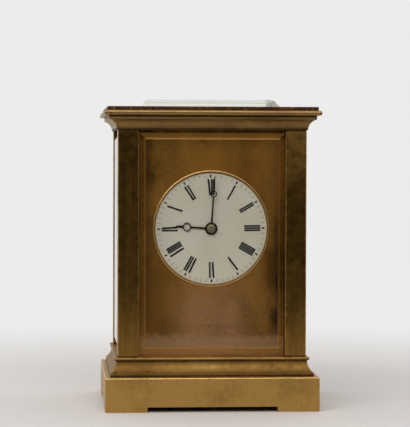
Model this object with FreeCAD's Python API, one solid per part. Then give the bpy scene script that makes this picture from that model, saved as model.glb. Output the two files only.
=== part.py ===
"""A glazed brass carriage clock, in millimetres: +Z up, front towards -Y, origin under its middle."""
import FreeCAD
import Part
import math
import os

# Case sizes
case_width = 86.6
pillar_width = 9.7
pillar_depth = 9.7
pillar_edge_chamfer = 0.35

# Base sizes, from the feet upwards
plinth_height = 15.8
plinth_overhang = 5.7
plinth_edge_radius = 0.6
foot_length = 19.2
foot_height = 2.4
base_fillet_height = 1.7
base_fillet_overhang = 3.3
base_cove_height = 5.4
base_neck_overhang = 0.5
base_quirk_height = 0.25
bead_height = 1.5
bead_overhang = 1.45
base_wall_inset = 1.6
deck_thickness = 4.0

# Cornice, top plate and top glass sizes
cornice_neck_overhang = 0.5
cornice_cove_height = 4.7
cornice_step_overhang = 4.15
cornice_step_height = 1.8
cornice_band_height = 2.2
cornice_band_overhang = 6.3
cornice_band_radius = 0.9
top_plate_height = 1.75
top_plate_overhang = 4.85
top_plate_edge_radius = 0.35
top_glass_width = 65.0
top_glass_depth = 53.0
top_glass_rise = 3.5
top_glass_bevel = 3.2
top_glass_ledge = 2.5

# Bevelled panes and the grooves that hold them
pane_thickness = 2.6
pane_edge = 1.6
pane_bevel = 3.0
pane_setback = 1.2
pane_clearance = 0.1
groove_depth = 1.4

# Case screws
case_screw_radius = 1.5
case_screw_reach = 8.0
case_screw_head_radius = 2.6
case_screw_head_height = 1.8
thread_clearance = 0.05

# Rear door
door_thickness = 4.0
door_setback = 1.0
door_stile = 5.2
door_gap = 0.4
door_pane_lap = 1.5
hinge_pin_radius = 0.9
hinge_pin_reach = 3.0
hinge_pin_depth = 2.0
knob_radius = 2.4
knob_length = 4.6
knob_neck_radius = 1.1
knob_neck_length = 1.2
knob_stem_length = 3.0
knob_tip_radius = 1.8

# Dial and mask
mask_setback = 7.6
mask_thickness = 1.2
mask_groove_depth = 0.8
bezel_side_room = 6.6
bezel_width = 1.1
bezel_lap = 0.7
bezel_rise = 0.9
bezel_profile_shares = ((0, 0), (0.16, 0.66), (0.5, 1), (0.84, 0.66), (1, 0))
dial_lap = 2.1
dial_thickness = 1.1
dial_crown = 0.6
dial_half_way_share = 0.75
dial_hole_radius = 2.7
dial_foot_radius = 0.8
dial_foot_inset = 8.4
dial_foot_count = 3

# Hands
hand_thickness = 0.4
hand_shaft_width = 0.75
hand_ring_band = 0.45
hour_hand_shortfall = 7.8
hour_spear_length = 5.2
hour_ring_radius = 1.95
hour_spear_width = 1.1
hour_boss_radius = 2.9
hour_hand_gap = 0.6
hour_hand_degrees = 274.0
minute_tip_gap = 1.7
minute_spear_length = 8.1
minute_ring_radius = 1.55
minute_spear_width = 0.9
minute_boss_radius = 2.0
minute_hand_gap = 0.7
minute_hand_degrees = 3.7
collet_radius = 1.55
collet_height = 0.5

# Movement plates and posts
movement_setback = 15.5
plate_width = 60.0
plate_thickness = 2.0
plate_corner_radius = 3.0
plates_gap = 28.0
post_inset = 5.0
post_radius = 2.6
post_screw_radius = 1.1
post_screw_depth = 4.0
post_screw_head_radius = 2.2
post_screw_head_height = 0.9
seat_screw_radius = 1.3
seat_screw_depth = 2.0
running_clearance = 0.05
seat_clearance = 0.02

# Gear train: teeth and modules
great_teeth = 60
intermediate_leaves = 10
great_module = 0.6
intermediate_teeth = 60
centre_leaves = 10
intermediate_module = 0.42
centre_teeth = 64
third_leaves = 8
centre_module = 0.34
third_teeth = 60
contrate_leaves = 8
third_module = 0.32
contrate_teeth = 60
escape_leaves = 6
contrate_module = 0.3
cannon_leaves = 12
minute_teeth = 36
cannon_module = 0.4
minute_leaves = 10
hour_teeth = 40

# Tooth forms as shares of the module, and of half a tooth pitch
wheel_addendum_share = 0.8
wheel_dedendum_share = 1.0
wheel_root_share = 0.62
wheel_tip_share = 0.28
leaf_addendum_share = 0.5
leaf_dedendum_share = 1.1
leaf_root_share = 0.40
leaf_tip_share = 0.30
crown_root_share = 0.58
crown_tip_share = 0.26

# Wheels and arbors
wheel_thickness = 1.4
wheel_rim = 1.6
wheel_hub_radius = 3.0
wheel_spoke_width = 1.5
wheel_spokes = 5
arbor_radius = 0.75
centre_arbor_radius = 1.5
pivot_radius = 0.5
pinion_length = 3.6

# Places of the wheels, measured back from the inside of the front plate
intermediate_wheel_place = 3.8
great_wheel_place = 8.6
centre_wheel_place = 12.2
contrate_wheel_place = 15.0
third_wheel_place = 20.6

# Directions from the barrel to the intermediate arbor and from the centre arbor to the third
intermediate_degrees = 103.4
third_degrees = 56.36

# Room left round the movement: under the great wheel, over the crown wheel and the cock, behind the plates
barrel_floor_gap = 5.87
crown_head_gap = 0.6
head_room = 6.55
rear_room = 27.1

# Going barrel and winding work
barrel_length = 17.6
great_wheel_thickness = 2.2
drum_inset = 0.8
drum_wall = 1.2
barrel_cover_thickness = 1.2
barrel_arbor_radius = 2.5
barrel_core_radius = 4.5
barrel_end_play = 0.2
winding_square = 3.2
winding_square_length = 9.5
mainspring_thickness = 0.45
mainspring_turns = 4
mainspring_clearance = 0.4
ratchet_teeth = 24
ratchet_radius = 7.0
ratchet_tooth_depth = 0.9
ratchet_thickness = 1.6
ratchet_gap = 0.3
click_distance = 12.0
click_hub_radius = 1.9
click_nose_width = 1.0
click_clearance = 0.15
click_pivot_degrees = 160.0
click_nose_degrees = 118.0
click_screw_radius = 0.9
click_screw_head_radius = 1.5
click_screw_head_height = 0.8
click_spring_radius = 5.2
click_spring_thickness = 0.35
click_spring_foot_radius = 1.4
click_spring_degrees = 150.0

# Motion work in front of the front plate
motion_gap = 0.4
cannon_pipe_radius = 1.5
cannon_bore_radius = 0.9
hour_pipe_radius = 2.2
motion_wheel_thickness = 1.0
motion_wheel_gap = 0.6
motion_stud_radius = 0.7
motion_shoulder_radius = 1.4
motion_degrees = 215.0
setting_square = 2.4
setting_square_length = 5.0
setting_collar_radius = 2.4

# Contrate wheel and escape pinion
crown_rim = 0.8
crown_depth = 2.0
crown_web = 1.0

# Platform and escapement, on top of the plates
platform_width = 32.0
platform_thickness = 1.4
potence_width = 3.0
potence_reach = 1.8
potence_thickness = 1.2
escape_teeth = 15
escape_radius = 3.6
escape_tooth_depth = 1.1
escape_thickness = 0.5
escape_lift = 1.0
escape_arbor_radius = 0.45
escape_hub_radius = 0.9
escape_rim = 0.45
escape_arm_width = 0.45
escape_pinion_drop = 2.6
escape_pinion_length = 2.2
lever_distance = 5.2
lever_width = 0.8
lever_hub_radius = 1.0
pallet_clearance = 0.4
pallet_length = 1.1
pallet_degrees = 30.0
fork_clearance = 0.2
fork_width = 1.5
bridge_width = 3.2
bridge_thickness = 0.8
bridge_gap = 0.6
bridge_foot_length = 4.5
balance_distance = 6.0
balance_radius = 8.2
balance_rim = 1.1
balance_height = 1.2
balance_lift = 3.6
balance_arm_width = 1.2
balance_hub_radius = 1.4
balance_staff_radius = 0.5
roller_radius = 1.9
roller_thickness = 0.5
impulse_pin_circle = 1.4
impulse_pin_radius = 0.2
hairspring_inner_radius = 1.0
hairspring_turns = 5
hairspring_pitch = 0.66
hairspring_thickness = 0.12
hairspring_height = 0.3
hairspring_lift = 0.9
cock_lift = 1.8
cock_thickness = 1.4
cock_foot_length = 5.4
cock_width = 5.6
cock_arm_width = 3.2
cock_foot_gap = 1.8
cock_boss_radius = 1.5
cock_boss_height = 0.9
index_ring_width = 0.9
index_length = 7.0
index_thickness = 0.5
index_gap = 0.1
platform_screw_radius = 0.8
platform_screw_depth = 3.0
platform_screw_head_radius = 1.4
platform_screw_head_height = 0.7
platform_screw_inset = 2.2

overrun = 1.0

ACROSS = FreeCAD.Vector(1, 0, 0)
BACK = FreeCAD.Vector(0, 1, 0)
UP = FreeCAD.Vector(0, 0, 1)

# Levels and planes that several pieces share
case_depth = movement_setback + 2 * plate_thickness + plates_gap + rear_room
half_width = case_width / 2
half_depth = case_depth / 2
base_fillet_top = plinth_height + base_fillet_height
base_cove_top = base_fillet_top + base_cove_height
bead_foot = base_cove_top + base_quirk_height
deck_top = bead_foot + bead_height
deck_under = deck_top - deck_thickness
inner_half_width = half_width - pillar_width
inner_half_depth = half_depth - pillar_depth
pillar_x = half_width - pillar_width / 2
pillar_y = half_depth - pillar_depth / 2
pane_rear = -half_depth + pane_setback + pane_clearance + pane_edge
bezel_outer_radius = inner_half_width - bezel_side_room
bezel_inner_radius = bezel_outer_radius - bezel_width
mask_opening_radius = bezel_outer_radius - bezel_lap
dial_radius = mask_opening_radius + dial_lap
dial_foot_circle = dial_radius - dial_foot_inset
minute_hand_length = bezel_inner_radius - minute_tip_gap
minute_ring_distance = minute_hand_length - minute_spear_length
hour_hand_length = minute_hand_length - hour_hand_shortfall
hour_ring_distance = hour_hand_length - hour_spear_length
mask_front = -half_depth + mask_setback
mask_rear = mask_front + mask_thickness
dial_rear = mask_rear + dial_thickness
hour_hand_rear = mask_rear - dial_crown - hour_hand_gap
minute_hand_rear = hour_hand_rear - hand_thickness - minute_hand_gap
front_plate_front = -half_depth + movement_setback
front_plate_rear = front_plate_front + plate_thickness
back_plate_front = front_plate_rear + plates_gap
back_plate_rear = back_plate_front + plate_thickness
arbor_front = front_plate_rear + running_clearance
arbor_rear = back_plate_front - running_clearance


def centre_distance(teeth, leaves, module):
    return (teeth + leaves) * module / 2


def reached(start, distance, degrees):
    """Point at a distance and a direction from another."""
    angle = math.radians(degrees)
    return start[0] + distance * math.cos(angle), start[1] + distance * math.sin(angle)


def back_to_middle(start, distance):
    """Point on the clock's middle line, above another and at a distance from it."""
    return 0, start[1] + math.sqrt(distance ** 2 - start[0] ** 2)


def heading(start, end):
    """Angle of the line from one arbor to another, seen from the front."""
    return math.atan2(end[1] - start[1], end[0] - start[0])


# Places of the arbors, as (x, z)
great_distance = centre_distance(great_teeth, intermediate_leaves, great_module)
intermediate_distance = centre_distance(intermediate_teeth, centre_leaves, intermediate_module)
third_distance = centre_distance(centre_teeth, third_leaves, centre_module)
contrate_distance = centre_distance(third_teeth, contrate_leaves, third_module)
motion_distance = centre_distance(minute_teeth, cannon_leaves, cannon_module)
hour_module = 2 * motion_distance / (hour_teeth + minute_leaves)
great_tip = great_module * (great_teeth / 2 + wheel_addendum_share)
drum_radius = great_module * (great_teeth / 2 - wheel_dedendum_share) - drum_inset
barrel_at = (0, deck_top + barrel_floor_gap + great_tip)
intermediate_at = reached(barrel_at, great_distance, intermediate_degrees)
centre_at = back_to_middle(intermediate_at, intermediate_distance)
dial_centre_height = centre_at[1]
third_at = reached(centre_at, third_distance, third_degrees)
contrate_at = back_to_middle(third_at, contrate_distance)
motion_at = reached(centre_at, motion_distance, motion_degrees)
click_at = reached(barrel_at, click_distance, click_pivot_degrees)
crown_radius = contrate_teeth * contrate_module / 2
plate_top = contrate_at[1] + crown_radius + crown_rim / 2 + crown_head_gap
post_x = plate_width / 2 - post_inset
post_low = deck_top + post_inset
post_high = plate_top - post_inset
post_places = [(x, z) for x in (-post_x, post_x) for z in (post_low, post_high)]

# Planes of the train, from front to back
intermediate_wheel_front = front_plate_rear + intermediate_wheel_place
great_wheel_front = front_plate_rear + great_wheel_place
centre_wheel_front = front_plate_rear + centre_wheel_place
contrate_web_front = front_plate_rear + contrate_wheel_place
third_wheel_front = front_plate_rear + third_wheel_place
barrel_rear = great_wheel_front + barrel_length
ratchet_front = back_plate_rear + ratchet_gap
ratchet_rear = ratchet_front + ratchet_thickness
cannon_rear = front_plate_front - motion_gap
minute_wheel_rear = cannon_rear - motion_gap
minute_wheel_front = minute_wheel_rear - motion_wheel_thickness
hour_wheel_rear = minute_wheel_front - motion_wheel_gap
hour_wheel_front = hour_wheel_rear - motion_wheel_thickness
crown_root = contrate_web_front + crown_depth
crown_tooth = contrate_module * (wheel_addendum_share + wheel_dedendum_share)

# Levels and places on the platform
platform_top = plate_top + platform_thickness
platform_middle = (front_plate_front + back_plate_rear) / 2
escape_y = crown_root + contrate_module * (wheel_dedendum_share + escape_leaves / 2)
lever_y = escape_y - lever_distance
balance_y = lever_y - balance_distance
escape_bottom = platform_top + escape_lift
escape_top = escape_bottom + escape_thickness
bridge_bottom = escape_top + bridge_gap
bridge_top = bridge_bottom + bridge_thickness
balance_bottom = platform_top + balance_lift
balance_top = balance_bottom + balance_height
hairspring_level = balance_top + hairspring_lift
cock_bottom = balance_top + cock_lift
cock_top = cock_bottom + cock_thickness
cock_foot_x = balance_radius + cock_foot_gap
platform_half = platform_width / 2

# Levels of the case above the movement
pillar_top = cock_top + cock_boss_height + head_room
pillar_height = pillar_top - deck_top
cornice_cove_top = pillar_top + cornice_cove_height
cornice_step_top = cornice_cove_top + cornice_step_height
cornice_top = cornice_step_top + cornice_band_height
plate_deck_top = cornice_top + top_plate_height


def at(x, y, z):
    return FreeCAD.Vector(x, y, z)


def block(x0, x1, y0, y1, z0, z1):
    return Part.makeBox(x1 - x0, y1 - y0, z1 - z0, at(x0, y0, z0))


def rod_back(place, radius, y0, y1):
    """Round bar along Y at a place (x, z)."""
    return Part.makeCylinder(radius, y1 - y0, at(place[0], y0, place[1]), BACK)


def rod_up(place, radius, z0, z1):
    """Round bar along Z at a place (x, y)."""
    return Part.makeCylinder(radius, z1 - z0, at(place[0], place[1], z0), UP)


def bore_back(place, radius, y0, y1):
    """Cutter for a round hole along Y, longer at both ends."""
    return rod_back(place, radius, y0 - overrun, y1 + overrun)


def bore_up(place, radius, z0, z1):
    """Cutter for a round hole along Z, longer at both ends."""
    return rod_up(place, radius, z0 - overrun, z1 + overrun)


def slab_back(points, y0, y1):
    """Plate of an (x, z) outline between two depths."""
    corners = [at(x, y0, z) for x, z in points]
    face = Part.Face(Part.makePolygon(corners + corners[:1]))
    return face.extrude(BACK * (y1 - y0))


def slab_up(points, z0, z1):
    """Plate of an (x, y) outline between two heights."""
    corners = [at(x, y, z0) for x, y in points]
    face = Part.Face(Part.makePolygon(corners + corners[:1]))
    return face.extrude(UP * (z1 - z0))


def turned(points, origin, axis):
    """Turned solid from (radius, distance along the axis) points."""
    corners = [origin + ACROSS * radius + axis * along for radius, along in points]
    face = Part.Face(Part.makePolygon(corners + corners[:1]))
    return face.revolve(origin, axis, 360)


def cove(neck, lip):
    """Middle of the hollow arc from an upright neck out to a lip, as (overhang, height)."""
    run = lip[0] - neck[0]
    rise = lip[1] - neck[1]
    radius = (run ** 2 + rise ** 2) / (2 * run)
    half_turn = math.asin(rise / radius) / 2
    return neck[0] + radius * (1 - math.cos(half_turn)), neck[1] + radius * math.sin(half_turn)


def rounded(corner, radius, turn):
    """Middle of a quarter round on an outer corner; turn is 1 at a lower edge and -1 at an upper one."""
    inset = radius * (1 - math.sqrt(2) / 2)
    return corner[0] - inset, corner[1] + turn * inset


def profile_prism(middle, stack, side, half, across, reach, steps):
    """Prism, long across, whose outline carries the same steps on both sides of the stack axis."""
    def place(sign, step):
        return middle + side * (sign * (half + step[0])) + stack * step[1]

    def run(sign):
        edges = []
        for before, step in zip(steps, steps[1:]):
            if len(step) == 3:
                curve = Part.Arc(place(sign, before), place(sign, step[2]), place(sign, step))
            else:
                curve = Part.LineSegment(place(sign, before), place(sign, step))
            edges.append(curve.toShape())
        return edges

    top = Part.LineSegment(place(1, steps[-1]), place(-1, steps[-1])).toShape()
    foot = Part.LineSegment(place(-1, steps[0]), place(1, steps[0])).toShape()
    face = Part.Face(Part.Wire(run(1) + [top] + run(-1)[::-1] + [foot]))
    face.translate(across * -reach)
    return face.extrude(across * (2 * reach))


def moulded_block(middle, stack, sides, halves, steps):
    """Block with one moulding on its four sides, mitred: what two crossing prisms have in common."""
    reach = max(halves) + max(step[0] for step in steps) + overrun
    one = profile_prism(middle, stack, sides[0], halves[0], sides[1], reach, steps)
    other = profile_prism(middle, stack, sides[1], halves[1], sides[0], reach, steps)
    return one.common(other)


def bevelled_pane(middle, outward, sides, halves, margin):
    """Glass pane with a thin flat margin and a wide bevel on its outer face."""
    steps = [(0, 0), (0, pane_edge), (-margin, pane_edge), (-margin - pane_bevel, pane_thickness)]
    return moulded_block(middle, outward, sides, halves, steps)


def tooth_outline(place, teeth, module, shares, phase):
    """Toothed outline about a place; one tooth points along the phase angle."""
    addendum_share, dedendum_share, root_share, tip_share = shares
    root = teeth * module / 2 - module * dedendum_share
    tip = teeth * module / 2 + module * addendum_share
    flank = ((root, -root_share), (tip, -tip_share), (tip, tip_share), (root, root_share))
    points = []
    for tooth in range(teeth):
        for radius, share in flank:
            angle = phase + math.pi * (2 * tooth + share) / teeth
            points.append((place[0] + radius * math.cos(angle), place[1] + radius * math.sin(angle)))
    return points


def many_sided(place, radius, sides):
    """Even outline about a place, whose flats face along X and each side's step from it."""
    turns = [math.pi * (2 * side + 1) / sides for side in range(sides)]
    return [(place[0] + radius * math.cos(turn), place[1] + radius * math.sin(turn)) for turn in turns]


WHEEL_FORM = (wheel_addendum_share, wheel_dedendum_share, wheel_root_share, wheel_tip_share)
LEAF_FORM = (leaf_addendum_share, leaf_dedendum_share, leaf_root_share, leaf_tip_share)


def spoke_windows(place, inner, outer, y0, y1):
    """The openings between a wheel's spokes."""
    ring = rod_back(place, outer, y0, y1).cut(rod_back(place, inner, y0, y1))
    spokes = []
    for number in range(wheel_spokes):
        spoke = block(0, outer + overrun, y0, y1, -wheel_spoke_width / 2, wheel_spoke_width / 2)
        spoke.rotate(at(0, 0, 0), BACK, 360 * number / wheel_spokes)
        spoke.translate(at(place[0], 0, place[1]))
        spokes.append(spoke)
    return ring.cut(spokes)


def spoked_wheel(place, teeth, module, phase, y0, y1, bore):
    """Crossed-out wheel with a toothed rim."""
    wheel = slab_back(tooth_outline(place, teeth, module, WHEEL_FORM, phase), y0, y1)
    rim = teeth * module / 2 - module * wheel_dedendum_share - wheel_rim
    windows = spoke_windows(place, wheel_hub_radius, rim, y0 - overrun, y1 + overrun)
    return wheel.cut([windows, bore_back(place, bore, y0, y1)])


def pinion(place, leaves, module, phase, y0, y1):
    """Leaves of a pinion; the gap beside one leaf points along the phase angle."""
    outline = tooth_outline(place, leaves, module, LEAF_FORM, phase + math.pi / leaves)
    return slab_back(outline, y0, y1)


def plain_arbor(place, extra):
    """Arbor between the plates with a pivot in each, and what is cut on it."""
    bar = rod_back(place, arbor_radius, arbor_front, arbor_rear)
    pivots = rod_back(place, pivot_radius, front_plate_front, back_plate_rear)
    return bar.fuse([pivots] + extra).removeSplitter()


def wheel_bore():
    return arbor_radius + seat_clearance


def screw_up(place, radius, z0, z1, head_radius, head_height):
    """Screw from below: a round head under its shank."""
    head = rod_up(place, head_radius, z0 - head_height, z0)
    return rod_up(place, radius, z0, z1).fuse(head)


def turned_over(shape, z):
    """The same shape upside down about a level."""
    shape.rotate(at(0, 0, z), ACROSS, 180)
    return shape


def screw_down(place, radius, z0, z1, head_radius, head_height):
    """Screw from above, with its shank from z0 down to z1."""
    upright = screw_up((place[0], -place[1]), radius, z0, 2 * z0 - z1, head_radius, head_height)
    return turned_over(upright, z0)


def screw_forward(place, radius, y0, y1, head_radius, head_height):
    """Screw from behind: head at y0, shank forward to y1."""
    head = rod_back(place, head_radius, y0, y0 + head_height)
    return rod_back(place, radius, y1, y0).fuse(head)


def group(shapes):
    return Part.makeCompound(shapes)


def pillar_places():
    return [(x, y) for x in (-pillar_x, pillar_x) for y in (-pillar_y, pillar_y)]


def base_plinth():
    """Moulded base: plinth on bracket feet, fillet, cove and bead, hollow underneath."""
    plinth_corner = (plinth_overhang, plinth_height)
    bead_middle = (bead_overhang, bead_foot + bead_height / 2)
    bead_seat = bead_overhang - bead_height / 2
    neck = (base_neck_overhang, base_cove_top)
    foot = (base_fillet_overhang, base_fillet_top)
    steps = [
        (plinth_overhang, 0),
        (plinth_overhang, plinth_height - plinth_edge_radius),
        (plinth_overhang - plinth_edge_radius, plinth_height, rounded(plinth_corner, plinth_edge_radius, -1)),
        (base_fillet_overhang, plinth_height),
        foot,
        neck + (cove(neck, foot),),
        (base_neck_overhang, bead_foot),
        (bead_seat, bead_foot),
        (bead_seat, deck_top, bead_middle),
        (0, deck_top),
    ]
    solid = moulded_block(at(0, 0, 0), UP, (ACROSS, BACK), (half_width, half_depth), steps)
    hollow_x = half_width - base_wall_inset
    hollow_y = half_depth - base_wall_inset
    reach_x = half_width + plinth_overhang + overrun
    reach_y = half_depth + plinth_overhang + overrun
    notch_x = half_width + plinth_overhang - foot_length
    notch_y = half_depth + plinth_overhang - foot_length
    cuts = [
        block(-hollow_x, hollow_x, -hollow_y, hollow_y, -overrun, deck_under),
        block(-notch_x, notch_x, -reach_y, reach_y, -overrun, foot_height),
        block(-reach_x, reach_x, -notch_y, notch_y, -overrun, foot_height),
    ]
    hole = case_screw_radius + thread_clearance
    cuts += [bore_up(place, hole, deck_under, deck_top) for place in pillar_places()]
    seat_hole = seat_screw_radius + thread_clearance
    cuts += [bore_up(place, seat_hole, deck_under, deck_top) for place in seat_screw_places()]
    cuts.append(rod_up(hinge_at(), hinge_hole(), deck_top - hinge_pin_depth, deck_top + overrun))
    return solid.cut(cuts)


def pillar(sign_x, sign_y):
    """Flat corner pillar, chamfered outside, grooved inside for the panes and, in front, for the mask."""
    inner_x = -pillar_width
    inner_y = -pillar_depth
    chamfer = pillar_edge_chamfer
    outline = [
        (inner_x, inner_y),
        (-chamfer, inner_y),
        (0, inner_y + chamfer),
        (0, -chamfer),
        (-chamfer, 0),
        (inner_x + chamfer, 0),
        (inner_x, -chamfer),
    ]
    bar = slab_up(outline, deck_top, pillar_top)
    groove_width = pane_edge + 2 * pane_clearance
    low = deck_top - overrun
    high = pillar_top + overrun
    near = -pane_setback
    far = near - groove_width
    cuts = [block(far, near, inner_y - overrun, inner_y + groove_depth, low, high)]
    if sign_y < 0:
        cuts.append(block(inner_x - overrun, inner_x + groove_depth, far, near, low, high))
        mask_far = -mask_setback - mask_thickness - pane_clearance
        mask_near = -mask_setback + pane_clearance
        cuts.append(block(inner_x - overrun, inner_x + mask_groove_depth, mask_far, mask_near, low, high))
    hole = case_screw_radius + thread_clearance
    screw_at = (-pillar_width / 2, -pillar_depth / 2)
    depth = case_screw_reach + thread_clearance
    cuts.append(rod_up(screw_at, hole, low, deck_top + depth))
    cuts.append(rod_up(screw_at, hole, pillar_top - depth, high))
    bar = bar.cut(cuts)
    bar.translate(at(half_width, half_depth, 0))
    if sign_x < 0:
        bar = bar.mirror(at(0, 0, 0), ACROSS)
    if sign_y < 0:
        bar = bar.mirror(at(0, 0, 0), BACK)
    return bar


def cornice_frame():
    """Moulded cornice: cove, upright step and rounded band, open in the middle under the top glass."""
    neck = (cornice_neck_overhang, pillar_top)
    lip = (cornice_step_overhang, cornice_cove_top)
    low_corner = (cornice_band_overhang, cornice_step_top)
    high_corner = (cornice_band_overhang, cornice_top)
    nose = cornice_band_overhang - cornice_band_radius
    swell = cornice_step_top + cornice_band_radius
    steps = [
        neck,
        lip + (cove(neck, lip),),
        (cornice_step_overhang, cornice_step_top),
        (nose, cornice_step_top),
        (cornice_band_overhang, swell, rounded(low_corner, cornice_band_radius, 1)),
        (cornice_band_overhang, cornice_top - cornice_band_radius),
        (nose, cornice_top, rounded(high_corner, cornice_band_radius, -1)),
    ]
    solid = moulded_block(at(0, 0, 0), UP, (ACROSS, BACK), (half_width, half_depth), steps)
    open_x = top_glass_width / 2 - top_glass_ledge
    open_y = top_glass_depth / 2 - top_glass_ledge
    cuts = [block(-open_x, open_x, -open_y, open_y, pillar_top - overrun, cornice_top + overrun)]
    hole = case_screw_radius + thread_clearance
    sink = case_screw_head_radius + thread_clearance
    head_seat = cornice_top - case_screw_head_height
    for place in pillar_places():
        cuts.append(bore_up(place, hole, pillar_top, cornice_top))
        cuts.append(rod_up(place, sink, head_seat, cornice_top + overrun))
    cuts.append(rod_up(hinge_at(), hinge_hole(), pillar_top - overrun, pillar_top + hinge_pin_depth))
    return solid.cut(cuts)


def top_plate():
    """Thin top plate with eased edges, open for the glass."""
    corner = (top_plate_overhang, plate_deck_top)
    ease = top_plate_edge_radius
    steps = [
        (top_plate_overhang, cornice_top),
        (top_plate_overhang, plate_deck_top - ease),
        (top_plate_overhang - ease, plate_deck_top, rounded(corner, ease, -1)),
    ]
    solid = moulded_block(at(0, 0, 0), UP, (ACROSS, BACK), (half_width, half_depth), steps)
    open_x = top_glass_width / 2 + pane_clearance
    open_y = top_glass_depth / 2 + pane_clearance
    return solid.cut(block(-open_x, open_x, -open_y, open_y, cornice_top - overrun, plate_deck_top + overrun))


def top_glass():
    """Thick bevelled glass that stands above the top plate."""
    steps = [
        (0, cornice_top),
        (0, plate_deck_top),
        (-top_glass_bevel, plate_deck_top + top_glass_rise),
    ]
    return moulded_block(at(0, 0, 0), UP, (ACROSS, BACK), (top_glass_width / 2, top_glass_depth / 2), steps)


def pane_middle_height():
    return (deck_top + pillar_top) / 2


def pane_half_height():
    return pillar_height / 2 - pane_clearance


def front_glass():
    half = inner_half_width + groove_depth - pane_clearance
    middle = at(0, pane_rear, pane_middle_height())
    return bevelled_pane(middle, BACK * -1, (ACROSS, UP), (half, pane_half_height()), groove_depth)


def side_glass(sign):
    half = inner_half_depth + groove_depth - pane_clearance
    inner_face = half_width - pane_setback - pane_clearance - pane_edge
    middle = at(sign * inner_face, 0, pane_middle_height())
    return bevelled_pane(middle, ACROSS * sign, (BACK, UP), (half, pane_half_height()), groove_depth)


def pillar_screws_below():
    head = case_screw_head_radius
    tip = deck_top + case_screw_reach
    return group([screw_up(place, case_screw_radius, deck_under, tip, head, case_screw_head_height)
                  for place in pillar_places()])


def pillar_screws_above():
    seat = cornice_top - case_screw_head_height
    tip = pillar_top - case_screw_reach
    head = case_screw_head_radius
    return group([screw_down(place, case_screw_radius, seat, tip, head, case_screw_head_height)
                  for place in pillar_places()])


# Rear door: planes and the hinge axis
door_rear = half_depth - door_setback
door_front = door_rear - door_thickness
door_half_width = inner_half_width - door_gap
door_bottom = deck_top + door_gap
door_top = pillar_top - door_gap


def hinge_at():
    return -door_half_width + door_thickness / 2, door_rear - door_thickness / 2


def hinge_hole():
    return hinge_pin_radius + running_clearance


def door_opening_half():
    return door_half_width - door_stile


def door_frame():
    """Door frame, rounded about its hinge pins, rebated inside for the glass."""
    pin_x, pin_y = hinge_at()
    round_tip = at(-door_half_width, pin_y, door_bottom)
    corners = [at(pin_x, door_front, door_bottom), at(door_half_width, door_front, door_bottom),
               at(door_half_width, door_rear, door_bottom), at(pin_x, door_rear, door_bottom)]
    sides = [Part.LineSegment(a, b).toShape() for a, b in zip(corners, corners[1:])]
    hinge_edge = Part.Arc(corners[3], round_tip, corners[0]).toShape()
    solid = Part.Face(Part.Wire(sides + [hinge_edge])).extrude(UP * (door_top - door_bottom))
    half = door_opening_half()
    low = door_bottom + door_stile
    high = door_top - door_stile
    lap = door_pane_lap
    rebate_rear = door_front + pane_edge + pane_clearance
    knob_hole = knob_neck_radius + seat_clearance
    pin_hole = hinge_pin_radius + seat_clearance
    pin_depth = hinge_pin_reach + seat_clearance
    cuts = [
        block(-half, half, door_front - overrun, door_rear + overrun, low, high),
        block(-half - lap, half + lap, door_front - overrun, rebate_rear, low - lap, high + lap),
        rod_back(knob_at(), knob_hole, door_rear - knob_stem_length - seat_clearance, door_rear + overrun),
        rod_up((pin_x, pin_y), pin_hole, door_bottom - overrun, door_bottom + pin_depth),
        rod_up((pin_x, pin_y), pin_hole, door_top - pin_depth, door_top + overrun),
    ]
    return solid.cut(cuts)


def knob_at():
    return door_half_width - door_stile / 2, (door_bottom + door_top) / 2


def door_glass():
    lap = door_pane_lap - pane_clearance
    half = door_opening_half() + lap
    half_height = (door_top - door_bottom) / 2 - door_stile + lap
    middle = at(0, door_front, (door_bottom + door_top) / 2)
    return bevelled_pane(middle, BACK, (ACROSS, UP), (half, half_height), door_pane_lap)


def door_hinge_pins():
    low = rod_up(hinge_at(), hinge_pin_radius, deck_top - hinge_pin_depth, door_bottom + hinge_pin_reach)
    high = rod_up(hinge_at(), hinge_pin_radius, door_top - hinge_pin_reach, pillar_top + hinge_pin_depth)
    return group([low, high])


def door_knob():
    """Turned pull with a waisted neck."""
    neck_end = knob_neck_length
    swell = knob_neck_length + (knob_length - knob_neck_length) / 2
    points = [
        (0, -knob_stem_length),
        (knob_neck_radius, -knob_stem_length),
        (knob_neck_radius, neck_end),
        (knob_radius, swell),
        (knob_tip_radius, knob_length),
        (0, knob_length),
    ]
    x, z = knob_at()
    return turned(points, at(x, door_rear, z), BACK)


def dial_mask():
    """Brass sheet behind the front glass, with a round opening for the dial."""
    half = inner_half_width + mask_groove_depth - pane_clearance
    low = deck_top + pane_clearance
    high = pillar_top - pane_clearance
    sheet = block(-half, half, mask_front, mask_rear, low, high)
    return sheet.cut(bore_back(centre_at, mask_opening_radius, mask_front, mask_rear))


def dial_bezel():
    """Ring on the mask, round the dial, turned with four narrow flats that follow a half round."""
    points = [(bezel_inner_radius + bezel_width * across_share, bezel_rise * rise_share)
              for across_share, rise_share in bezel_profile_shares]
    return turned(points, at(0, mask_front, dial_centre_height), BACK * -1)


def dial_plate():
    """Enamel dial, crowned in two slopes that follow a shallow dome, with its middle hole."""
    face = dial_thickness
    half = mask_opening_radius / 2
    points = [
        (dial_hole_radius, 0),
        (dial_radius, 0),
        (dial_radius, face),
        (mask_opening_radius, face),
        (half, face + dial_crown * dial_half_way_share),
        (dial_hole_radius, face + dial_crown),
    ]
    return turned(points, at(0, dial_rear, dial_centre_height), BACK * -1)


def dial_foot_places():
    places = []
    for number in range(dial_foot_count):
        angle = math.pi / 2 + 2 * math.pi * (number + 1 / 2) / dial_foot_count
        z = dial_centre_height + dial_foot_circle * math.sin(angle)
        places.append((dial_foot_circle * math.cos(angle), z))
    return places


def dial_feet():
    feet = [rod_back(place, dial_foot_radius, dial_rear, front_plate_rear) for place in dial_foot_places()]
    return group(feet)


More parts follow.
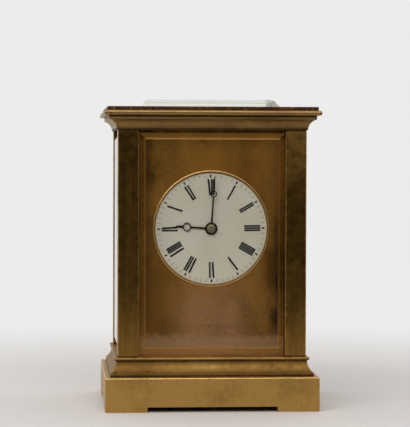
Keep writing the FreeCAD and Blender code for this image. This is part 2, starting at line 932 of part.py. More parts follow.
def hand(length, ring_distance, ring_radius, spear_width, boss_radius, bore, y0, degrees):
    """Hand with a slim shaft, an open ring and a spear tip, cut from sheet and turned to its hour."""
    y1 = y0 + hand_thickness
    x, z = centre_at
    half_shaft = hand_shaft_width / 2
    half_spear = spear_width / 2
    ring_at = (x, z + ring_distance)
    ring_top = z + ring_distance + ring_radius - hand_ring_band / 2
    belly = ring_top + (z + length - ring_top) / 3
    shaft = slab_back([(x - half_shaft, z), (x + half_shaft, z),
                       (x + half_shaft, ring_at[1] - ring_radius + hand_ring_band / 2),
                       (x - half_shaft, ring_at[1] - ring_radius + hand_ring_band / 2)], y0, y1)
    spear = slab_back([(x - half_shaft, ring_top), (x + half_shaft, ring_top), (x + half_spear, belly),
                       (x, z + length), (x - half_spear, belly)], y0, y1)
    ring = rod_back(ring_at, ring_radius, y0, y1)
    eye = bore_back(ring_at, ring_radius - hand_ring_band, y0, y1)
    boss = rod_back(centre_at, boss_radius, y0, y1)
    blade = boss.fuse([shaft, spear, ring.cut(eye)])
    blade = blade.cut(bore_back(centre_at, bore, y0, y1)).removeSplitter()
    blade.rotate(at(x, 0, z), BACK, degrees)
    return blade


def hour_hand():
    return hand(hour_hand_length, hour_ring_distance, hour_ring_radius, hour_spear_width, hour_boss_radius,
                hour_pipe_radius + seat_clearance, hour_hand_rear - hand_thickness, hour_hand_degrees)


def minute_hand():
    return hand(minute_hand_length, minute_ring_distance, minute_ring_radius, minute_spear_width,
                minute_boss_radius, cannon_pipe_radius + seat_clearance, minute_hand_rear - hand_thickness,
                minute_hand_degrees)


def hand_collet():
    """Domed washer that keeps the minute hand on its pipe."""
    foot = minute_hand_rear - hand_thickness
    inner = cannon_bore_radius + seat_clearance
    shoulder = collet_height / 2
    points = [(inner, 0), (collet_radius, 0), (collet_radius, shoulder), (inner, collet_height)]
    return turned(points, at(0, foot, dial_centre_height), BACK * -1)


def rounded_plate(y0, y1):
    """Movement plate with rounded corners."""
    plate = block(-plate_width / 2, plate_width / 2, y0, y1, deck_top, plate_top)
    close = math.radians(1)
    edges = [edge for edge in plate.Edges if edge.tangentAt(edge.FirstParameter).isParallel(BACK, close)]
    return plate.makeFillet(plate_corner_radius, edges)


def pivot_holes(y0, y1):
    places = (intermediate_at, third_at, contrate_at)
    return [bore_back(place, pivot_radius + running_clearance, y0, y1) for place in places]


def front_plate():
    y0 = front_plate_front
    y1 = front_plate_rear
    cuts = pivot_holes(y0, y1)
    cuts.append(bore_back(barrel_at, barrel_arbor_radius + running_clearance, y0, y1))
    cuts.append(bore_back(centre_at, centre_bearing_radius() + running_clearance, y0, y1))
    cuts.append(bore_back(motion_at, motion_stud_radius + seat_clearance, y0, y1))
    cuts += [bore_back(place, dial_foot_radius + seat_clearance, y0, y1)
             for place in dial_foot_places()]
    cuts += [bore_back(place, post_screw_radius + thread_clearance, y0, y1)
             for place in post_places]
    cuts += platform_screw_holes()
    return rounded_plate(y0, y1).cut(cuts)


def back_plate():
    y0 = back_plate_front
    y1 = back_plate_rear
    cuts = pivot_holes(y0, y1)
    cuts.append(bore_back(barrel_at, barrel_arbor_radius + running_clearance, y0, y1))
    cuts.append(bore_back(centre_at, centre_bearing_radius() + running_clearance, y0, y1))
    cuts.append(bore_back(click_at, click_screw_radius + thread_clearance, y0, y1))
    cuts.append(bore_back(spring_foot_at(), click_screw_radius + thread_clearance, y0, y1))
    cuts += [bore_back(place, post_screw_radius + thread_clearance, y0, y1)
             for place in post_places]
    cuts += platform_screw_holes()
    return rounded_plate(y0, y1).cut(cuts)


def seat_screw_places():
    return [(-post_x, platform_middle), (post_x, platform_middle)]


def movement_posts():
    """Four turned posts that hold the plates apart: riveted into the front plate, tapped behind."""
    posts = []
    hole = post_screw_radius + thread_clearance
    seat_hole = seat_screw_radius + thread_clearance
    depth = post_screw_depth + thread_clearance
    for place in post_places:
        post = rod_back(place, post_radius, front_plate_rear, back_plate_front)
        rivet = rod_back(place, post_screw_radius, front_plate_front, front_plate_rear)
        cuts = [rod_back(place, hole, back_plate_front - depth, back_plate_front + overrun)]
        if place[1] == post_low:
            top = post_low - post_radius + seat_screw_depth + thread_clearance
            cuts.append(rod_up((place[0], platform_middle), seat_hole, deck_top, top))
        posts.append(post.fuse(rivet).cut(cuts))
    return group(posts)


def movement_post_screws():
    tip = back_plate_front - post_screw_depth
    head = (post_screw_head_radius, post_screw_head_height)
    places = post_places
    return group([screw_forward(place, post_screw_radius, back_plate_rear, tip, *head) for place in places])


def movement_seat_screws():
    tip = post_low - post_radius + seat_screw_depth
    head = (case_screw_head_radius, case_screw_head_height)
    places = seat_screw_places()
    return group([screw_up(place, seat_screw_radius, deck_under, tip, *head) for place in places])


def barrel_drum():
    """Drum with the great wheel at its front end, open behind for the cover."""
    y0 = great_wheel_front
    wheel_rear = y0 + great_wheel_thickness
    phase = heading(barrel_at, intermediate_at)
    outline = tooth_outline(barrel_at, great_teeth, great_module, WHEEL_FORM, phase)
    wheel = slab_back(outline, y0, wheel_rear)
    drum = rod_back(barrel_at, drum_radius, wheel_rear, barrel_rear)
    hollow = rod_back(barrel_at, drum_radius - drum_wall, wheel_rear, barrel_rear + overrun)
    bore = rod_back(barrel_at, barrel_arbor_radius + running_clearance, y0 - overrun, barrel_rear)
    return wheel.fuse(drum).cut([hollow, bore])


def barrel_cover():
    radius = drum_radius - drum_wall - seat_clearance
    disc = rod_back(barrel_at, radius, barrel_rear - barrel_cover_thickness, barrel_rear)
    hole = barrel_arbor_radius + running_clearance
    return disc.cut(rod_back(barrel_at, hole, great_wheel_front, barrel_rear + overrun))


def barrel_inside():
    """Front and rear of the space for the mainspring."""
    return great_wheel_front + great_wheel_thickness, barrel_rear - barrel_cover_thickness


def half_turns(first_radius, step, count):
    """Centres and radii of the half circles of a flat spiral that widens by one step each half turn."""
    arcs = []
    shift = 0
    for number in range(count):
        radius = first_radius + step * number
        side = 1 if number % 2 == 0 else -1
        arcs.append((shift, radius, side))
        shift -= side * step
    return arcs


def spiral_edges(place_of, first_radius, step, count):
    """Half-circle edges of a flat spiral; place_of turns plane coordinates into a point."""
    edges = []
    for shift, radius, side in half_turns(first_radius, step, count):
        start = place_of(shift + side * radius, 0)
        middle = place_of(shift, side * radius)
        end = place_of(shift - side * radius, 0)
        edges.append(Part.Arc(start, middle, end).toShape())
    return edges


def wound_ribbon(place_of, first_radius, step, count, thickness, height):
    """Flat spiral ribbon in one piece, as high as the given vector."""
    inner = spiral_edges(place_of, first_radius, step, count)
    outer = spiral_edges(place_of, first_radius + thickness, step, count)
    inner_ends = Part.Wire(inner).OrderedVertexes
    outer_ends = Part.Wire(outer).OrderedVertexes
    caps = [Part.LineSegment(a.Point, b.Point).toShape() for a, b in
            ((inner_ends[0], outer_ends[0]), (inner_ends[-1], outer_ends[-1]))]
    return Part.Face(Part.Wire(Part.__sortEdges__(inner + outer + caps))).extrude(height)


def mainspring():
    """Wound steel ribbon between the core and the drum wall."""
    y0, y1 = barrel_inside()
    y0 += mainspring_clearance
    y1 -= mainspring_clearance
    first = barrel_core_radius + mainspring_clearance
    last = drum_radius - drum_wall - mainspring_clearance - mainspring_thickness
    count = 2 * mainspring_turns
    step = (last - first) / (count + 1)

    def place_of(a, b):
        return at(barrel_at[0] + a, y0, barrel_at[1] + b)

    return wound_ribbon(place_of, first, step, count, mainspring_thickness, BACK * (y1 - y0))


def square_back(place, side, y0, y1):
    half = side / 2
    return block(place[0] - half, place[0] + half, y0, y1, place[1] - half, place[1] + half)


def barrel_arbor():
    """Winding arbor: pivots, core in the barrel, and the square behind the back plate."""
    y0, y1 = barrel_inside()
    bar = rod_back(barrel_at, barrel_arbor_radius, front_plate_front, ratchet_front)
    core = rod_back(barrel_at, barrel_core_radius, y0 + barrel_end_play, y1 - barrel_end_play)
    square = square_back(barrel_at, winding_square, ratchet_front, ratchet_rear + winding_square_length)
    return bar.fuse([core, square]).removeSplitter()


def ratchet_wheel():
    """Saw-toothed wheel on the winding square."""
    points = []
    for tooth in range(ratchet_teeth):
        angle = 2 * math.pi * tooth / ratchet_teeth
        for radius in (ratchet_radius, ratchet_radius - ratchet_tooth_depth):
            points.append((barrel_at[0] + radius * math.cos(angle), barrel_at[1] + radius * math.sin(angle)))
    disc = slab_back(points, ratchet_front, ratchet_rear)
    side = winding_square + 2 * seat_clearance
    hole = square_back(barrel_at, side, ratchet_front - overrun, ratchet_rear + overrun)
    return disc.cut(hole)


def click_nose_at(extra):
    angle = math.radians(click_nose_degrees)
    reach = ratchet_radius + click_clearance + extra
    return barrel_at[0] + reach * math.cos(angle), barrel_at[1] + reach * math.sin(angle)


def click():
    """Pawl that bears on the ratchet, with its nose just clear of the tooth tips."""
    hub = rod_back(click_at, click_hub_radius, ratchet_front, ratchet_rear)
    nose = click_nose_at(0)
    back_of_nose = click_nose_at(click_nose_width)
    angle = heading(click_at, nose)
    side_x = -click_hub_radius * math.sin(angle)
    side_z = click_hub_radius * math.cos(angle)
    half_x = side_x / 2
    half_z = side_z / 2
    arm = slab_back([(click_at[0] - half_x, click_at[1] - half_z), nose, back_of_nose,
                     (click_at[0] + side_x, click_at[1] + side_z)], ratchet_front, ratchet_rear)
    hole = bore_back(click_at, click_screw_radius + running_clearance, ratchet_front, ratchet_rear)
    return hub.fuse(arm).cut(hole)


def spring_foot_at():
    """Foot of the click spring, beyond the click on the line from its nose."""
    angle = heading(click_nose_at(click_nose_width), click_at)
    reach = click_spring_radius
    return click_at[0] + reach * math.cos(angle), click_at[1] + reach * math.sin(angle)


def click_spring():
    """Bowed leaf spring round the outside of the click, from its foot to the back of the nose."""
    foot = spring_foot_at()
    start = heading(click_at, foot)
    outer = click_spring_radius
    inner = outer - click_spring_thickness
    turn = math.radians(click_spring_degrees)

    def ring(radius, share):
        angle = start - turn * share
        x = click_at[0] + radius * math.cos(angle)
        return at(x, ratchet_front, click_at[1] + radius * math.sin(angle))

    edges = [
        Part.Arc(ring(outer, 0), ring(outer, 1 / 2), ring(outer, 1)).toShape(),
        Part.LineSegment(ring(outer, 1), ring(inner, 1)).toShape(),
        Part.Arc(ring(inner, 1), ring(inner, 1 / 2), ring(inner, 0)).toShape(),
        Part.LineSegment(ring(inner, 0), ring(outer, 0)).toShape(),
    ]
    leaf = Part.Face(Part.Wire(edges)).extrude(BACK * ratchet_thickness)
    lug = rod_back(foot, click_spring_foot_radius, back_plate_rear, ratchet_rear)
    hole = bore_back(foot, click_screw_radius + thread_clearance, back_plate_rear, ratchet_rear)
    return lug.fuse(leaf).cut(hole).removeSplitter()


def click_screws():
    """Pivot screw of the click and the screw that holds its spring."""
    sizes = (click_screw_head_radius, click_screw_head_height)
    places = (click_at, spring_foot_at())
    gap = running_clearance
    seats = (ratchet_rear + gap, ratchet_rear)
    return group([screw_forward(place, click_screw_radius, seat, back_plate_front, *sizes)
                  for place, seat in zip(places, seats)])


def pinion_span(wheel_front, thickness):
    """Front and rear of a pinion that meshes with a wheel."""
    middle = wheel_front + thickness / 2
    return middle - pinion_length / 2, middle + pinion_length / 2


def intermediate_arbor():
    y0, y1 = pinion_span(great_wheel_front, great_wheel_thickness)
    phase = heading(intermediate_at, barrel_at)
    leaves = pinion(intermediate_at, intermediate_leaves, great_module, phase, y0, y1)
    return plain_arbor(intermediate_at, [leaves])


def intermediate_wheel():
    y0 = intermediate_wheel_front
    phase = heading(intermediate_at, centre_at)
    y1 = y0 + wheel_thickness
    return spoked_wheel(intermediate_at, intermediate_teeth, intermediate_module, phase, y0, y1, wheel_bore())


def centre_bearing_radius():
    return cannon_bore_radius - running_clearance


def centre_arbor():
    """Centre arbor: nose for the cannon pinion in front, pinion, and the hand-setting square behind."""
    y0, y1 = pinion_span(intermediate_wheel_front, wheel_thickness)
    front = minute_hand_rear - hand_thickness - collet_height
    nose_rear = front_plate_front - running_clearance
    nose = rod_back(centre_at, cannon_bore_radius - seat_clearance, front, nose_rear)
    bearing = rod_back(centre_at, centre_bearing_radius(), nose_rear, back_plate_rear)
    bar = rod_back(centre_at, centre_arbor_radius, arbor_front, arbor_rear)
    phase = heading(centre_at, intermediate_at)
    leaves = pinion(centre_at, centre_leaves, intermediate_module, phase, y0, y1)
    collar_rear = back_plate_rear + running_clearance + ratchet_gap
    collar = rod_back(centre_at, setting_collar_radius, back_plate_rear + running_clearance, collar_rear)
    bridge = rod_back(centre_at, centre_bearing_radius(), back_plate_rear, collar_rear)
    square = square_back(centre_at, setting_square, collar_rear, collar_rear + setting_square_length)
    return nose.fuse([bearing, bar, leaves, bridge, collar, square]).removeSplitter()


def centre_wheel():
    y0 = centre_wheel_front
    y1 = y0 + wheel_thickness
    bore = centre_arbor_radius + seat_clearance
    phase = heading(centre_at, third_at)
    return spoked_wheel(centre_at, centre_teeth, centre_module, phase, y0, y1, bore)


def third_arbor():
    y0, y1 = pinion_span(centre_wheel_front, wheel_thickness)
    phase = heading(third_at, centre_at)
    return plain_arbor(third_at, [pinion(third_at, third_leaves, centre_module, phase, y0, y1)])


def third_wheel():
    y0 = third_wheel_front
    phase = heading(third_at, contrate_at)
    return spoked_wheel(third_at, third_teeth, third_module, phase, y0, y0 + wheel_thickness, wheel_bore())


def contrate_arbor():
    y0, y1 = pinion_span(third_wheel_front, wheel_thickness)
    phase = heading(contrate_at, third_at)
    return plain_arbor(contrate_at, [pinion(contrate_at, contrate_leaves, third_module, phase, y0, y1)])


def contrate_wheel():
    """Crown wheel: a spoked web with an upright rim, one flat to each of the teeth that point to the back."""
    outer = crown_radius + crown_rim / 2
    inner = crown_radius - crown_rim / 2
    tip = crown_root + crown_tooth
    web_rear = contrate_web_front + crown_web
    shell = slab_back(many_sided(contrate_at, outer, contrate_teeth), contrate_web_front, tip)
    hollow = slab_back(many_sided(contrate_at, inner, contrate_teeth), web_rear, tip + overrun)
    low = contrate_web_front - overrun
    windows = spoke_windows(contrate_at, wheel_hub_radius, inner - crown_rim, low, web_rear + overrun)
    bore = bore_back(contrate_at, wheel_bore(), contrate_web_front, web_rear)
    pitch = math.pi * contrate_module
    root_gap = pitch * (1 - crown_root_share) / 2
    tip_gap = pitch * (1 - crown_tip_share) / 2
    beyond = tip_gap + (tip_gap - root_gap) * overrun / crown_tooth
    notches = []
    for tooth in range(contrate_teeth):
        outline = [at(-root_gap, crown_root, inner - overrun), at(root_gap, crown_root, inner - overrun),
                   at(beyond, tip + overrun, inner - overrun), at(-beyond, tip + overrun, inner - overrun)]
        notch = Part.Face(Part.makePolygon(outline + outline[:1])).extrude(UP * (crown_rim + 2 * overrun))
        notch.rotate(at(0, 0, 0), BACK, 360 * (tooth + 1 / 2) / contrate_teeth)
        notch.translate(at(contrate_at[0], 0, contrate_at[1]))
        notches.append(notch)
    return shell.cut([hollow, windows, bore] + notches)


def cannon_pinion():
    """Pinion on a pipe that carries the minute hand."""
    pipe = rod_back(centre_at, cannon_pipe_radius, minute_hand_rear - hand_thickness, cannon_rear)
    phase = heading(centre_at, motion_at)
    leaves = pinion(centre_at, cannon_leaves, cannon_module, phase, hour_wheel_rear, cannon_rear)
    bore = bore_back(centre_at, cannon_bore_radius, minute_hand_rear, cannon_rear)
    return pipe.fuse(leaves).cut(bore)


def minute_wheel():
    """Wheel and pinion on the stud, between the cannon pinion and the hour wheel."""
    phase = heading(motion_at, centre_at)
    outline = tooth_outline(motion_at, minute_teeth, cannon_module, WHEEL_FORM, phase)
    wheel = slab_back(outline, minute_wheel_front, minute_wheel_rear)
    leaves = pinion(motion_at, minute_leaves, hour_module, phase, hour_wheel_front, minute_wheel_front)
    hole = bore_back(motion_at, motion_stud_radius + running_clearance, hour_wheel_front, minute_wheel_rear)
    return wheel.fuse(leaves).cut(hole)


def minute_wheel_stud():
    """Stud in the front plate, shouldered behind the minute wheel."""
    stud = rod_back(motion_at, motion_stud_radius, hour_wheel_front, front_plate_rear)
    seat = minute_wheel_rear + running_clearance
    shoulder = rod_back(motion_at, motion_shoulder_radius, seat, front_plate_front)
    return stud.fuse(shoulder).removeSplitter()


def hour_wheel():
    """Hour wheel on its pipe, over the cannon pinion's pipe."""
    outline = tooth_outline(centre_at, hour_teeth, hour_module, WHEEL_FORM, heading(centre_at, motion_at))
    wheel = slab_back(outline, hour_wheel_front, hour_wheel_rear)
    pipe = rod_back(centre_at, hour_pipe_radius, hour_hand_rear - hand_thickness, hour_wheel_front)
    hole = cannon_pipe_radius + running_clearance
    bore = bore_back(centre_at, hole, hour_hand_rear - hand_thickness, hour_wheel_rear)
    return wheel.fuse(pipe).cut(bore)


def platform_screw_places():
    x = platform_half - platform_screw_inset
    front = (front_plate_front + front_plate_rear) / 2
    rear = (back_plate_front + back_plate_rear) / 2
    return [(side * x, y) for side in (-1, 1) for y in (front, rear)]


def platform_screw_holes():
    radius = platform_screw_radius + thread_clearance
    tip = plate_top - platform_screw_depth - thread_clearance
    return [rod_up(place, radius, tip, plate_top + overrun) for place in platform_screw_places()]


def platform_plate():
    """Platform across the tops of both plates, with the potence that carries the escape arbor's foot."""
    plate = block(-platform_half, platform_half, front_plate_front, back_plate_rear, plate_top, platform_top)
    pinion_top = plate_top - escape_pinion_drop + escape_pinion_length
    arm_top = pinion_top - escape_pinion_length - running_clearance
    arm_bottom = arm_top - potence_thickness
    leg_front = escape_y + potence_reach
    leg_rear = leg_front + potence_thickness
    half = potence_width / 2
    leg = block(-half, half, leg_front, leg_rear, arm_bottom, plate_top)
    arm = block(-half, half, escape_y - escape_hub_radius, leg_front, arm_bottom, arm_top)
    clear = escape_leaves * contrate_module / 2 + leaf_addendum_share * contrate_module + running_clearance
    escape_hole = bore_up((0, escape_y), clear, plate_top, platform_top)
    foot_hole = bore_up((0, escape_y), escape_arbor_radius + running_clearance, arm_bottom, arm_top)
    cuts = [escape_hole, foot_hole]
    for y in (lever_y, balance_y):
        cuts.append(bore_up((0, y), balance_staff_radius + running_clearance, plate_top, platform_top))
    radius = platform_screw_radius + thread_clearance
    places = platform_screw_places() + [bridge_screw_at(), cock_screw_at()]
    cuts += [bore_up(place, radius, plate_top, platform_top) for place in places]
    return plate.fuse([leg, arm]).removeSplitter().cut(cuts)


def bridge_screw_at():
    return 0, back_plate_rear - bridge_foot_length / 2


def cock_screw_at():
    return cock_foot_x + cock_foot_length / 2, balance_y


def platform_screws():
    """Screws of the platform, the bridge and the cock."""
    sizes = (platform_screw_head_radius, platform_screw_head_height)
    tip = plate_top - platform_screw_depth
    screws = [screw_down(place, platform_screw_radius, platform_top, tip, *sizes)
              for place in platform_screw_places()]
    screws.append(screw_down(bridge_screw_at(), platform_screw_radius, bridge_top, plate_top, *sizes))
    screws.append(screw_down(cock_screw_at(), platform_screw_radius, cock_top, plate_top, *sizes))
    return group(screws)


def escape_wheel():
    """Escape wheel with slanting pointed teeth."""
    points = []
    root = escape_radius - escape_tooth_depth
    for tooth in range(escape_teeth):
        for radius, turn_share in ((root, 0), (root, 1 / 4), (escape_radius, 3 / 4), (escape_radius, 7 / 8)):
            angle = 2 * math.pi * (tooth + turn_share) / escape_teeth
            points.append((radius * math.cos(angle), escape_y + radius * math.sin(angle)))
    disc = slab_up(points, escape_bottom, escape_top)
    inner = escape_hub_radius
    outer = root - escape_rim
    ring = bore_up((0, escape_y), outer, escape_bottom, escape_top)
    ring = ring.cut(bore_up((0, escape_y), inner, escape_bottom, escape_top))
    half = escape_arm_width / 2
    low = escape_bottom - overrun
    high = escape_top + overrun
    arms = [block(-outer, outer, escape_y - half, escape_y + half, low, high),
            block(-half, half, escape_y - outer, escape_y + outer, low, high)]
    bore = rod_up((0, escape_y), escape_arbor_radius + seat_clearance, low, high)
    return disc.cut([ring.cut(arms), bore])


def escape_arbor():
    """Upright arbor with the escape pinion under the platform."""
    pinion_bottom = plate_top - escape_pinion_drop
    arm_bottom = pinion_bottom - running_clearance - potence_thickness
    bar = rod_up((0, escape_y), escape_arbor_radius, arm_bottom, bridge_top)
    outline = tooth_outline((0, escape_y), escape_leaves, contrate_module, LEAF_FORM,
                            -math.pi / 2 + math.pi / escape_leaves)
    leaves = slab_up(outline, pinion_bottom, pinion_bottom + escape_pinion_length)
    return bar.fuse(leaves)


def pallet_lever():
    """Lever with two pallets towards the escape wheel and a fork towards the balance, on its arbor."""
    z0 = escape_bottom
    z1 = escape_top
    half = lever_width / 2
    fork_end = balance_y + impulse_pin_circle + impulse_pin_radius + fork_clearance
    fork_root = fork_end + fork_width / 2
    hub = rod_up((0, lever_y), lever_hub_radius, z0, z1)
    slim = half / 2
    stem = slab_up([(-slim, lever_y), (slim, lever_y), (slim, fork_root), (-slim, fork_root)], z0, z1)
    fork = slab_up([(-slim, fork_root), (slim, fork_root), (fork_width / 2, fork_end), (slim, fork_end),
                    (0, fork_root - half), (-slim, fork_end), (-fork_width / 2, fork_end)], z0, z1)
    pieces = [stem, fork]
    angle = math.radians(pallet_degrees)
    reach = escape_radius + pallet_clearance
    end = reach + pallet_length
    for side in (-1, 1):
        near = (side * reach * math.sin(angle), escape_y - reach * math.cos(angle))
        far = (side * end * math.sin(angle), escape_y - end * math.cos(angle))
        wide = (near[0] + side * half, near[1])
        outer = (far[0] + side * half, far[1])
        pieces.append(slab_up([(0, lever_y - half), outer, wide, near, (0, lever_y + half)], z0, z1))
    arbor = rod_up((0, lever_y), balance_staff_radius, plate_top, bridge_top)
    return hub.fuse(pieces + [arbor]).removeSplitter()


def escape_bridge():
    """Bridge over the escape wheel and the lever, on one foot."""
    half = bridge_width / 2
    foot_front = back_plate_rear - bridge_foot_length
    foot = block(-half, half, foot_front, back_plate_rear, platform_top, bridge_top)
    tip = lever_y - half
    arm = block(-half, half, tip, back_plate_rear, bridge_bottom, bridge_top)
    low = platform_top - overrun
    high = bridge_top + overrun
    cuts = [
        rod_up((0, escape_y), escape_arbor_radius + running_clearance, low, high),
        rod_up((0, lever_y), balance_staff_radius + running_clearance, low, high),
        rod_up(bridge_screw_at(), platform_screw_radius + thread_clearance, low, high),
    ]
    return foot.fuse(arm).removeSplitter().cut(cuts)


def balance_wheel():
    """Balance: a rim on two arms."""
    middle = (0, balance_y)
    rim = rod_up(middle, balance_radius, balance_bottom, balance_top)
    rim = rim.cut(bore_up(middle, balance_radius - balance_rim, balance_bottom, balance_top))
    half = balance_arm_width / 2
    reach = balance_radius - balance_rim / 2
    arm_top = balance_bottom + balance_height / 2
    arms = block(-half, half, balance_y - reach, balance_y + reach, balance_bottom, arm_top)
    hub = rod_up(middle, balance_hub_radius, balance_bottom, arm_top)
    bore = bore_up(middle, balance_staff_radius + seat_clearance, balance_bottom, balance_top)
    return rim.fuse([arms, hub]).removeSplitter().cut(bore)


def balance_staff():
    """Staff with the roller and its impulse pin, from the platform up to the cock."""
    middle = (0, balance_y)
    staff = rod_up(middle, balance_staff_radius, plate_top, cock_top)
    roller_bottom = escape_top + bridge_gap / 2
    roller = rod_up(middle, roller_radius, roller_bottom, roller_bottom + roller_thickness)
    pin_at = (0, balance_y + impulse_pin_circle)
    pin = rod_up(pin_at, impulse_pin_radius, escape_bottom, roller_bottom)
    return staff.fuse([roller, pin])


def hairspring():
    """Flat spiral spring round the staff: one unbroken ribbon."""
    def place_of(a, b):
        return at(a, balance_y + b, hairspring_level)

    return wound_ribbon(place_of, hairspring_inner_radius, hairspring_pitch / 2, 2 * hairspring_turns,
                        hairspring_thickness, UP * hairspring_height)


def hairspring_gap():
    """Least clear distance between neighbouring turns, on points along the ribbon."""
    def place_of(a, b):
        return at(a, b, 0)

    edges = spiral_edges(place_of, hairspring_inner_radius, hairspring_pitch / 2, 2 * hairspring_turns)
    points = [edge.discretize(24) for edge in edges]
    least = math.inf
    for number, run in enumerate(points):
        for later in points[number + 2:]:
            least = min([least] + [a.distanceToPoint(b) for a in run for b in later])
    return least - hairspring_thickness


def hairspring_outer():
    """Place of the outer end of the hairspring, where the cock's stud holds it."""
    shift, radius, side = half_turns(hairspring_inner_radius, hairspring_pitch / 2, 2 * hairspring_turns)[-1]
    return shift - side * (radius + hairspring_thickness / 2), balance_y


def balance_cock():
    """Cock over the balance: a foot on the platform, an arm, a boss for the index and the spring's stud."""
    half = cock_width / 2
    half_arm = cock_arm_width / 2
    foot_end = cock_foot_x + cock_foot_length
    foot = block(cock_foot_x, foot_end, balance_y - half, balance_y + half, platform_top, cock_top)
    arm = slab_up([(0, balance_y - half_arm), (cock_foot_x, balance_y - half), (foot_end, balance_y - half),
                   (foot_end, balance_y + half), (cock_foot_x, balance_y + half), (0, balance_y + half_arm)],
                  cock_bottom, cock_top)
    tip = rod_up((0, balance_y), half_arm, cock_bottom, cock_top)
    boss = rod_up((0, balance_y), cock_boss_radius, cock_bottom, cock_top + cock_boss_height)
    stud_at = hairspring_outer()
    stud_foot = hairspring_level + hairspring_height + seat_clearance
    stud = rod_up(stud_at, balance_staff_radius, stud_foot, cock_bottom)
    low = platform_top - overrun
    high = cock_top + cock_boss_height + overrun
    cuts = [
        rod_up((0, balance_y), balance_staff_radius + running_clearance, low, high),
        rod_up(cock_screw_at(), platform_screw_radius + thread_clearance, low, high),
    ]
    return foot.fuse([arm, tip, boss, stud]).removeSplitter().cut(cuts)


def regulator_index():
    """Index lever on the cock's boss, pointing away from the foot."""
    z0 = cock_top + index_gap
    z1 = z0 + index_thickness
    inner = cock_boss_radius + running_clearance
    outer = inner + index_ring_width
    ring = rod_up((0, balance_y), outer, z0, z1)
    half = index_ring_width / 2
    pointer = slab_up([(0, balance_y - half), (0, balance_y + half), (-index_length, balance_y)], z0, z1)
    bore = bore_up((0, balance_y), inner, z0, z1)
    return ring.fuse(pointer).removeSplitter().cut(bore)


pieces = {
    "base_plinth": base_plinth(),
    "pillar_front_left": pillar(-1, -1),
    "pillar_front_right": pillar(1, -1),
    "pillar_rear_left": pillar(-1, 1),
    "pillar_rear_right": pillar(1, 1),
    "cornice_frame": cornice_frame(),
    "top_plate": top_plate(),
    "top_glass": top_glass(),
    "front_glass": front_glass(),
    "left_glass": side_glass(-1),
    "right_glass": side_glass(1),
    "pillar_screws_below": pillar_screws_below(),
    "pillar_screws_above": pillar_screws_above(),
    "door_frame": door_frame(),
    "door_glass": door_glass(),
    "door_hinge_pins": door_hinge_pins(),
    "door_knob": door_knob(),
    "dial_mask": dial_mask(),
    "dial_bezel": dial_bezel(),
    "dial_plate": dial_plate(),
    "dial_feet": dial_feet(),
    "hour_hand": hour_hand(),
    "minute_hand": minute_hand(),
    "hand_collet": hand_collet(),
    "front_plate": front_plate(),
    "back_plate": back_plate(),
    "movement_posts": movement_posts(),
    "movement_post_screws": movement_post_screws(),
    "movement_seat_screws": movement_seat_screws(),
    "barrel_drum": barrel_drum(),
    "barrel_cover": barrel_cover(),
    "mainspring": mainspring(),
    "barrel_arbor": barrel_arbor(),
    "ratchet_wheel": ratchet_wheel(),
    "click": click(),
    "click_spring": click_spring(),
    "click_screws": click_screws(),
    "intermediate_wheel": intermediate_wheel(),
    "intermediate_arbor": intermediate_arbor(),
    "centre_wheel": centre_wheel(),
    "centre_arbor": centre_arbor(),
    "third_wheel": third_wheel(),
    "third_arbor": third_arbor(),
    "contrate_wheel": contrate_wheel(),
    "contrate_arbor": contrate_arbor(),
    "cannon_pinion": cannon_pinion(),
    "minute_wheel": minute_wheel(),
    "minute_wheel_stud": minute_wheel_stud(),
    "hour_wheel": hour_wheel(),
    "platform_plate": platform_plate(),
    "platform_screws": platform_screws(),
    "escape_wheel": escape_wheel(),
    "escape_arbor": escape_arbor(),
    "pallet_lever": pallet_lever(),
    "escape_bridge": escape_bridge(),
    "balance_wheel": balance_wheel(),
    "balance_staff": balance_staff(),
    "hairspring": hairspring(),
    "balance_cock": balance_cock(),
    "regulator_index": regulator_index(),
}

os.makedirs("parts", exist_ok=True)
for name, shape in pieces.items():
    shape.exportStep(os.path.join("parts", name + ".step"))
    print(name, len(shape.Solids), "solid", round(shape.Volume, 1), "mm3", shape.isValid())
print("least gap between the hairspring's turns:", round(hairspring_gap(), 3), "mm")
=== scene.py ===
# %% [markdown]
# A glazed brass table clock of the travelling kind: a moulded base, four flat pillars with glass between
# them, a cornice with a glass light on top, and a white enamel dial in a brass mask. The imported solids
# already hold the case and the movement in their true places, so this lesson adds what solids leave out
# or only rough out: the finishes, the dial and its print, the hands, the slotted screws, and the light.
# Lengths are in metres, and in millimetres where it is said.

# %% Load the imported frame
import bpy
import math
from mathutils import Matrix, Vector


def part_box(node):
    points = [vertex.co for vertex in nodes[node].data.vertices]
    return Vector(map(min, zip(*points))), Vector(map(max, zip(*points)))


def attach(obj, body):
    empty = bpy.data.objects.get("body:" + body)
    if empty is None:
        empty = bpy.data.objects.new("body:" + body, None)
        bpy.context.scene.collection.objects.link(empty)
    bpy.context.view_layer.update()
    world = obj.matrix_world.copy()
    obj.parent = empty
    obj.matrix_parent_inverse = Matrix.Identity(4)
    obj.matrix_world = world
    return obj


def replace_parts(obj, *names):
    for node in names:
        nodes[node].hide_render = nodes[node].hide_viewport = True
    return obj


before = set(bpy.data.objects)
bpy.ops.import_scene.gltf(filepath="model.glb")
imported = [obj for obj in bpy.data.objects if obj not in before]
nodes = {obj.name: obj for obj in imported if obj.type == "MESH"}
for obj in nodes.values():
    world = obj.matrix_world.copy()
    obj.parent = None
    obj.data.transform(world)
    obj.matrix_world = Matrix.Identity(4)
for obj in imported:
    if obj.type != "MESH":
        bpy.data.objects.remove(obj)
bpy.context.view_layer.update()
bpy.ops.object.select_all(action="DESELECT")
MM = 0.001

# %% [markdown]
# The camera stands almost a metre in front, a little to the left of the clock's middle and a little above
# its dial, and looks slightly down. Its place was worked out from the corners of the base, the pillars
# and the cornice. A camera's axes are the columns of its matrix, so the three directions are written out
# and put together.

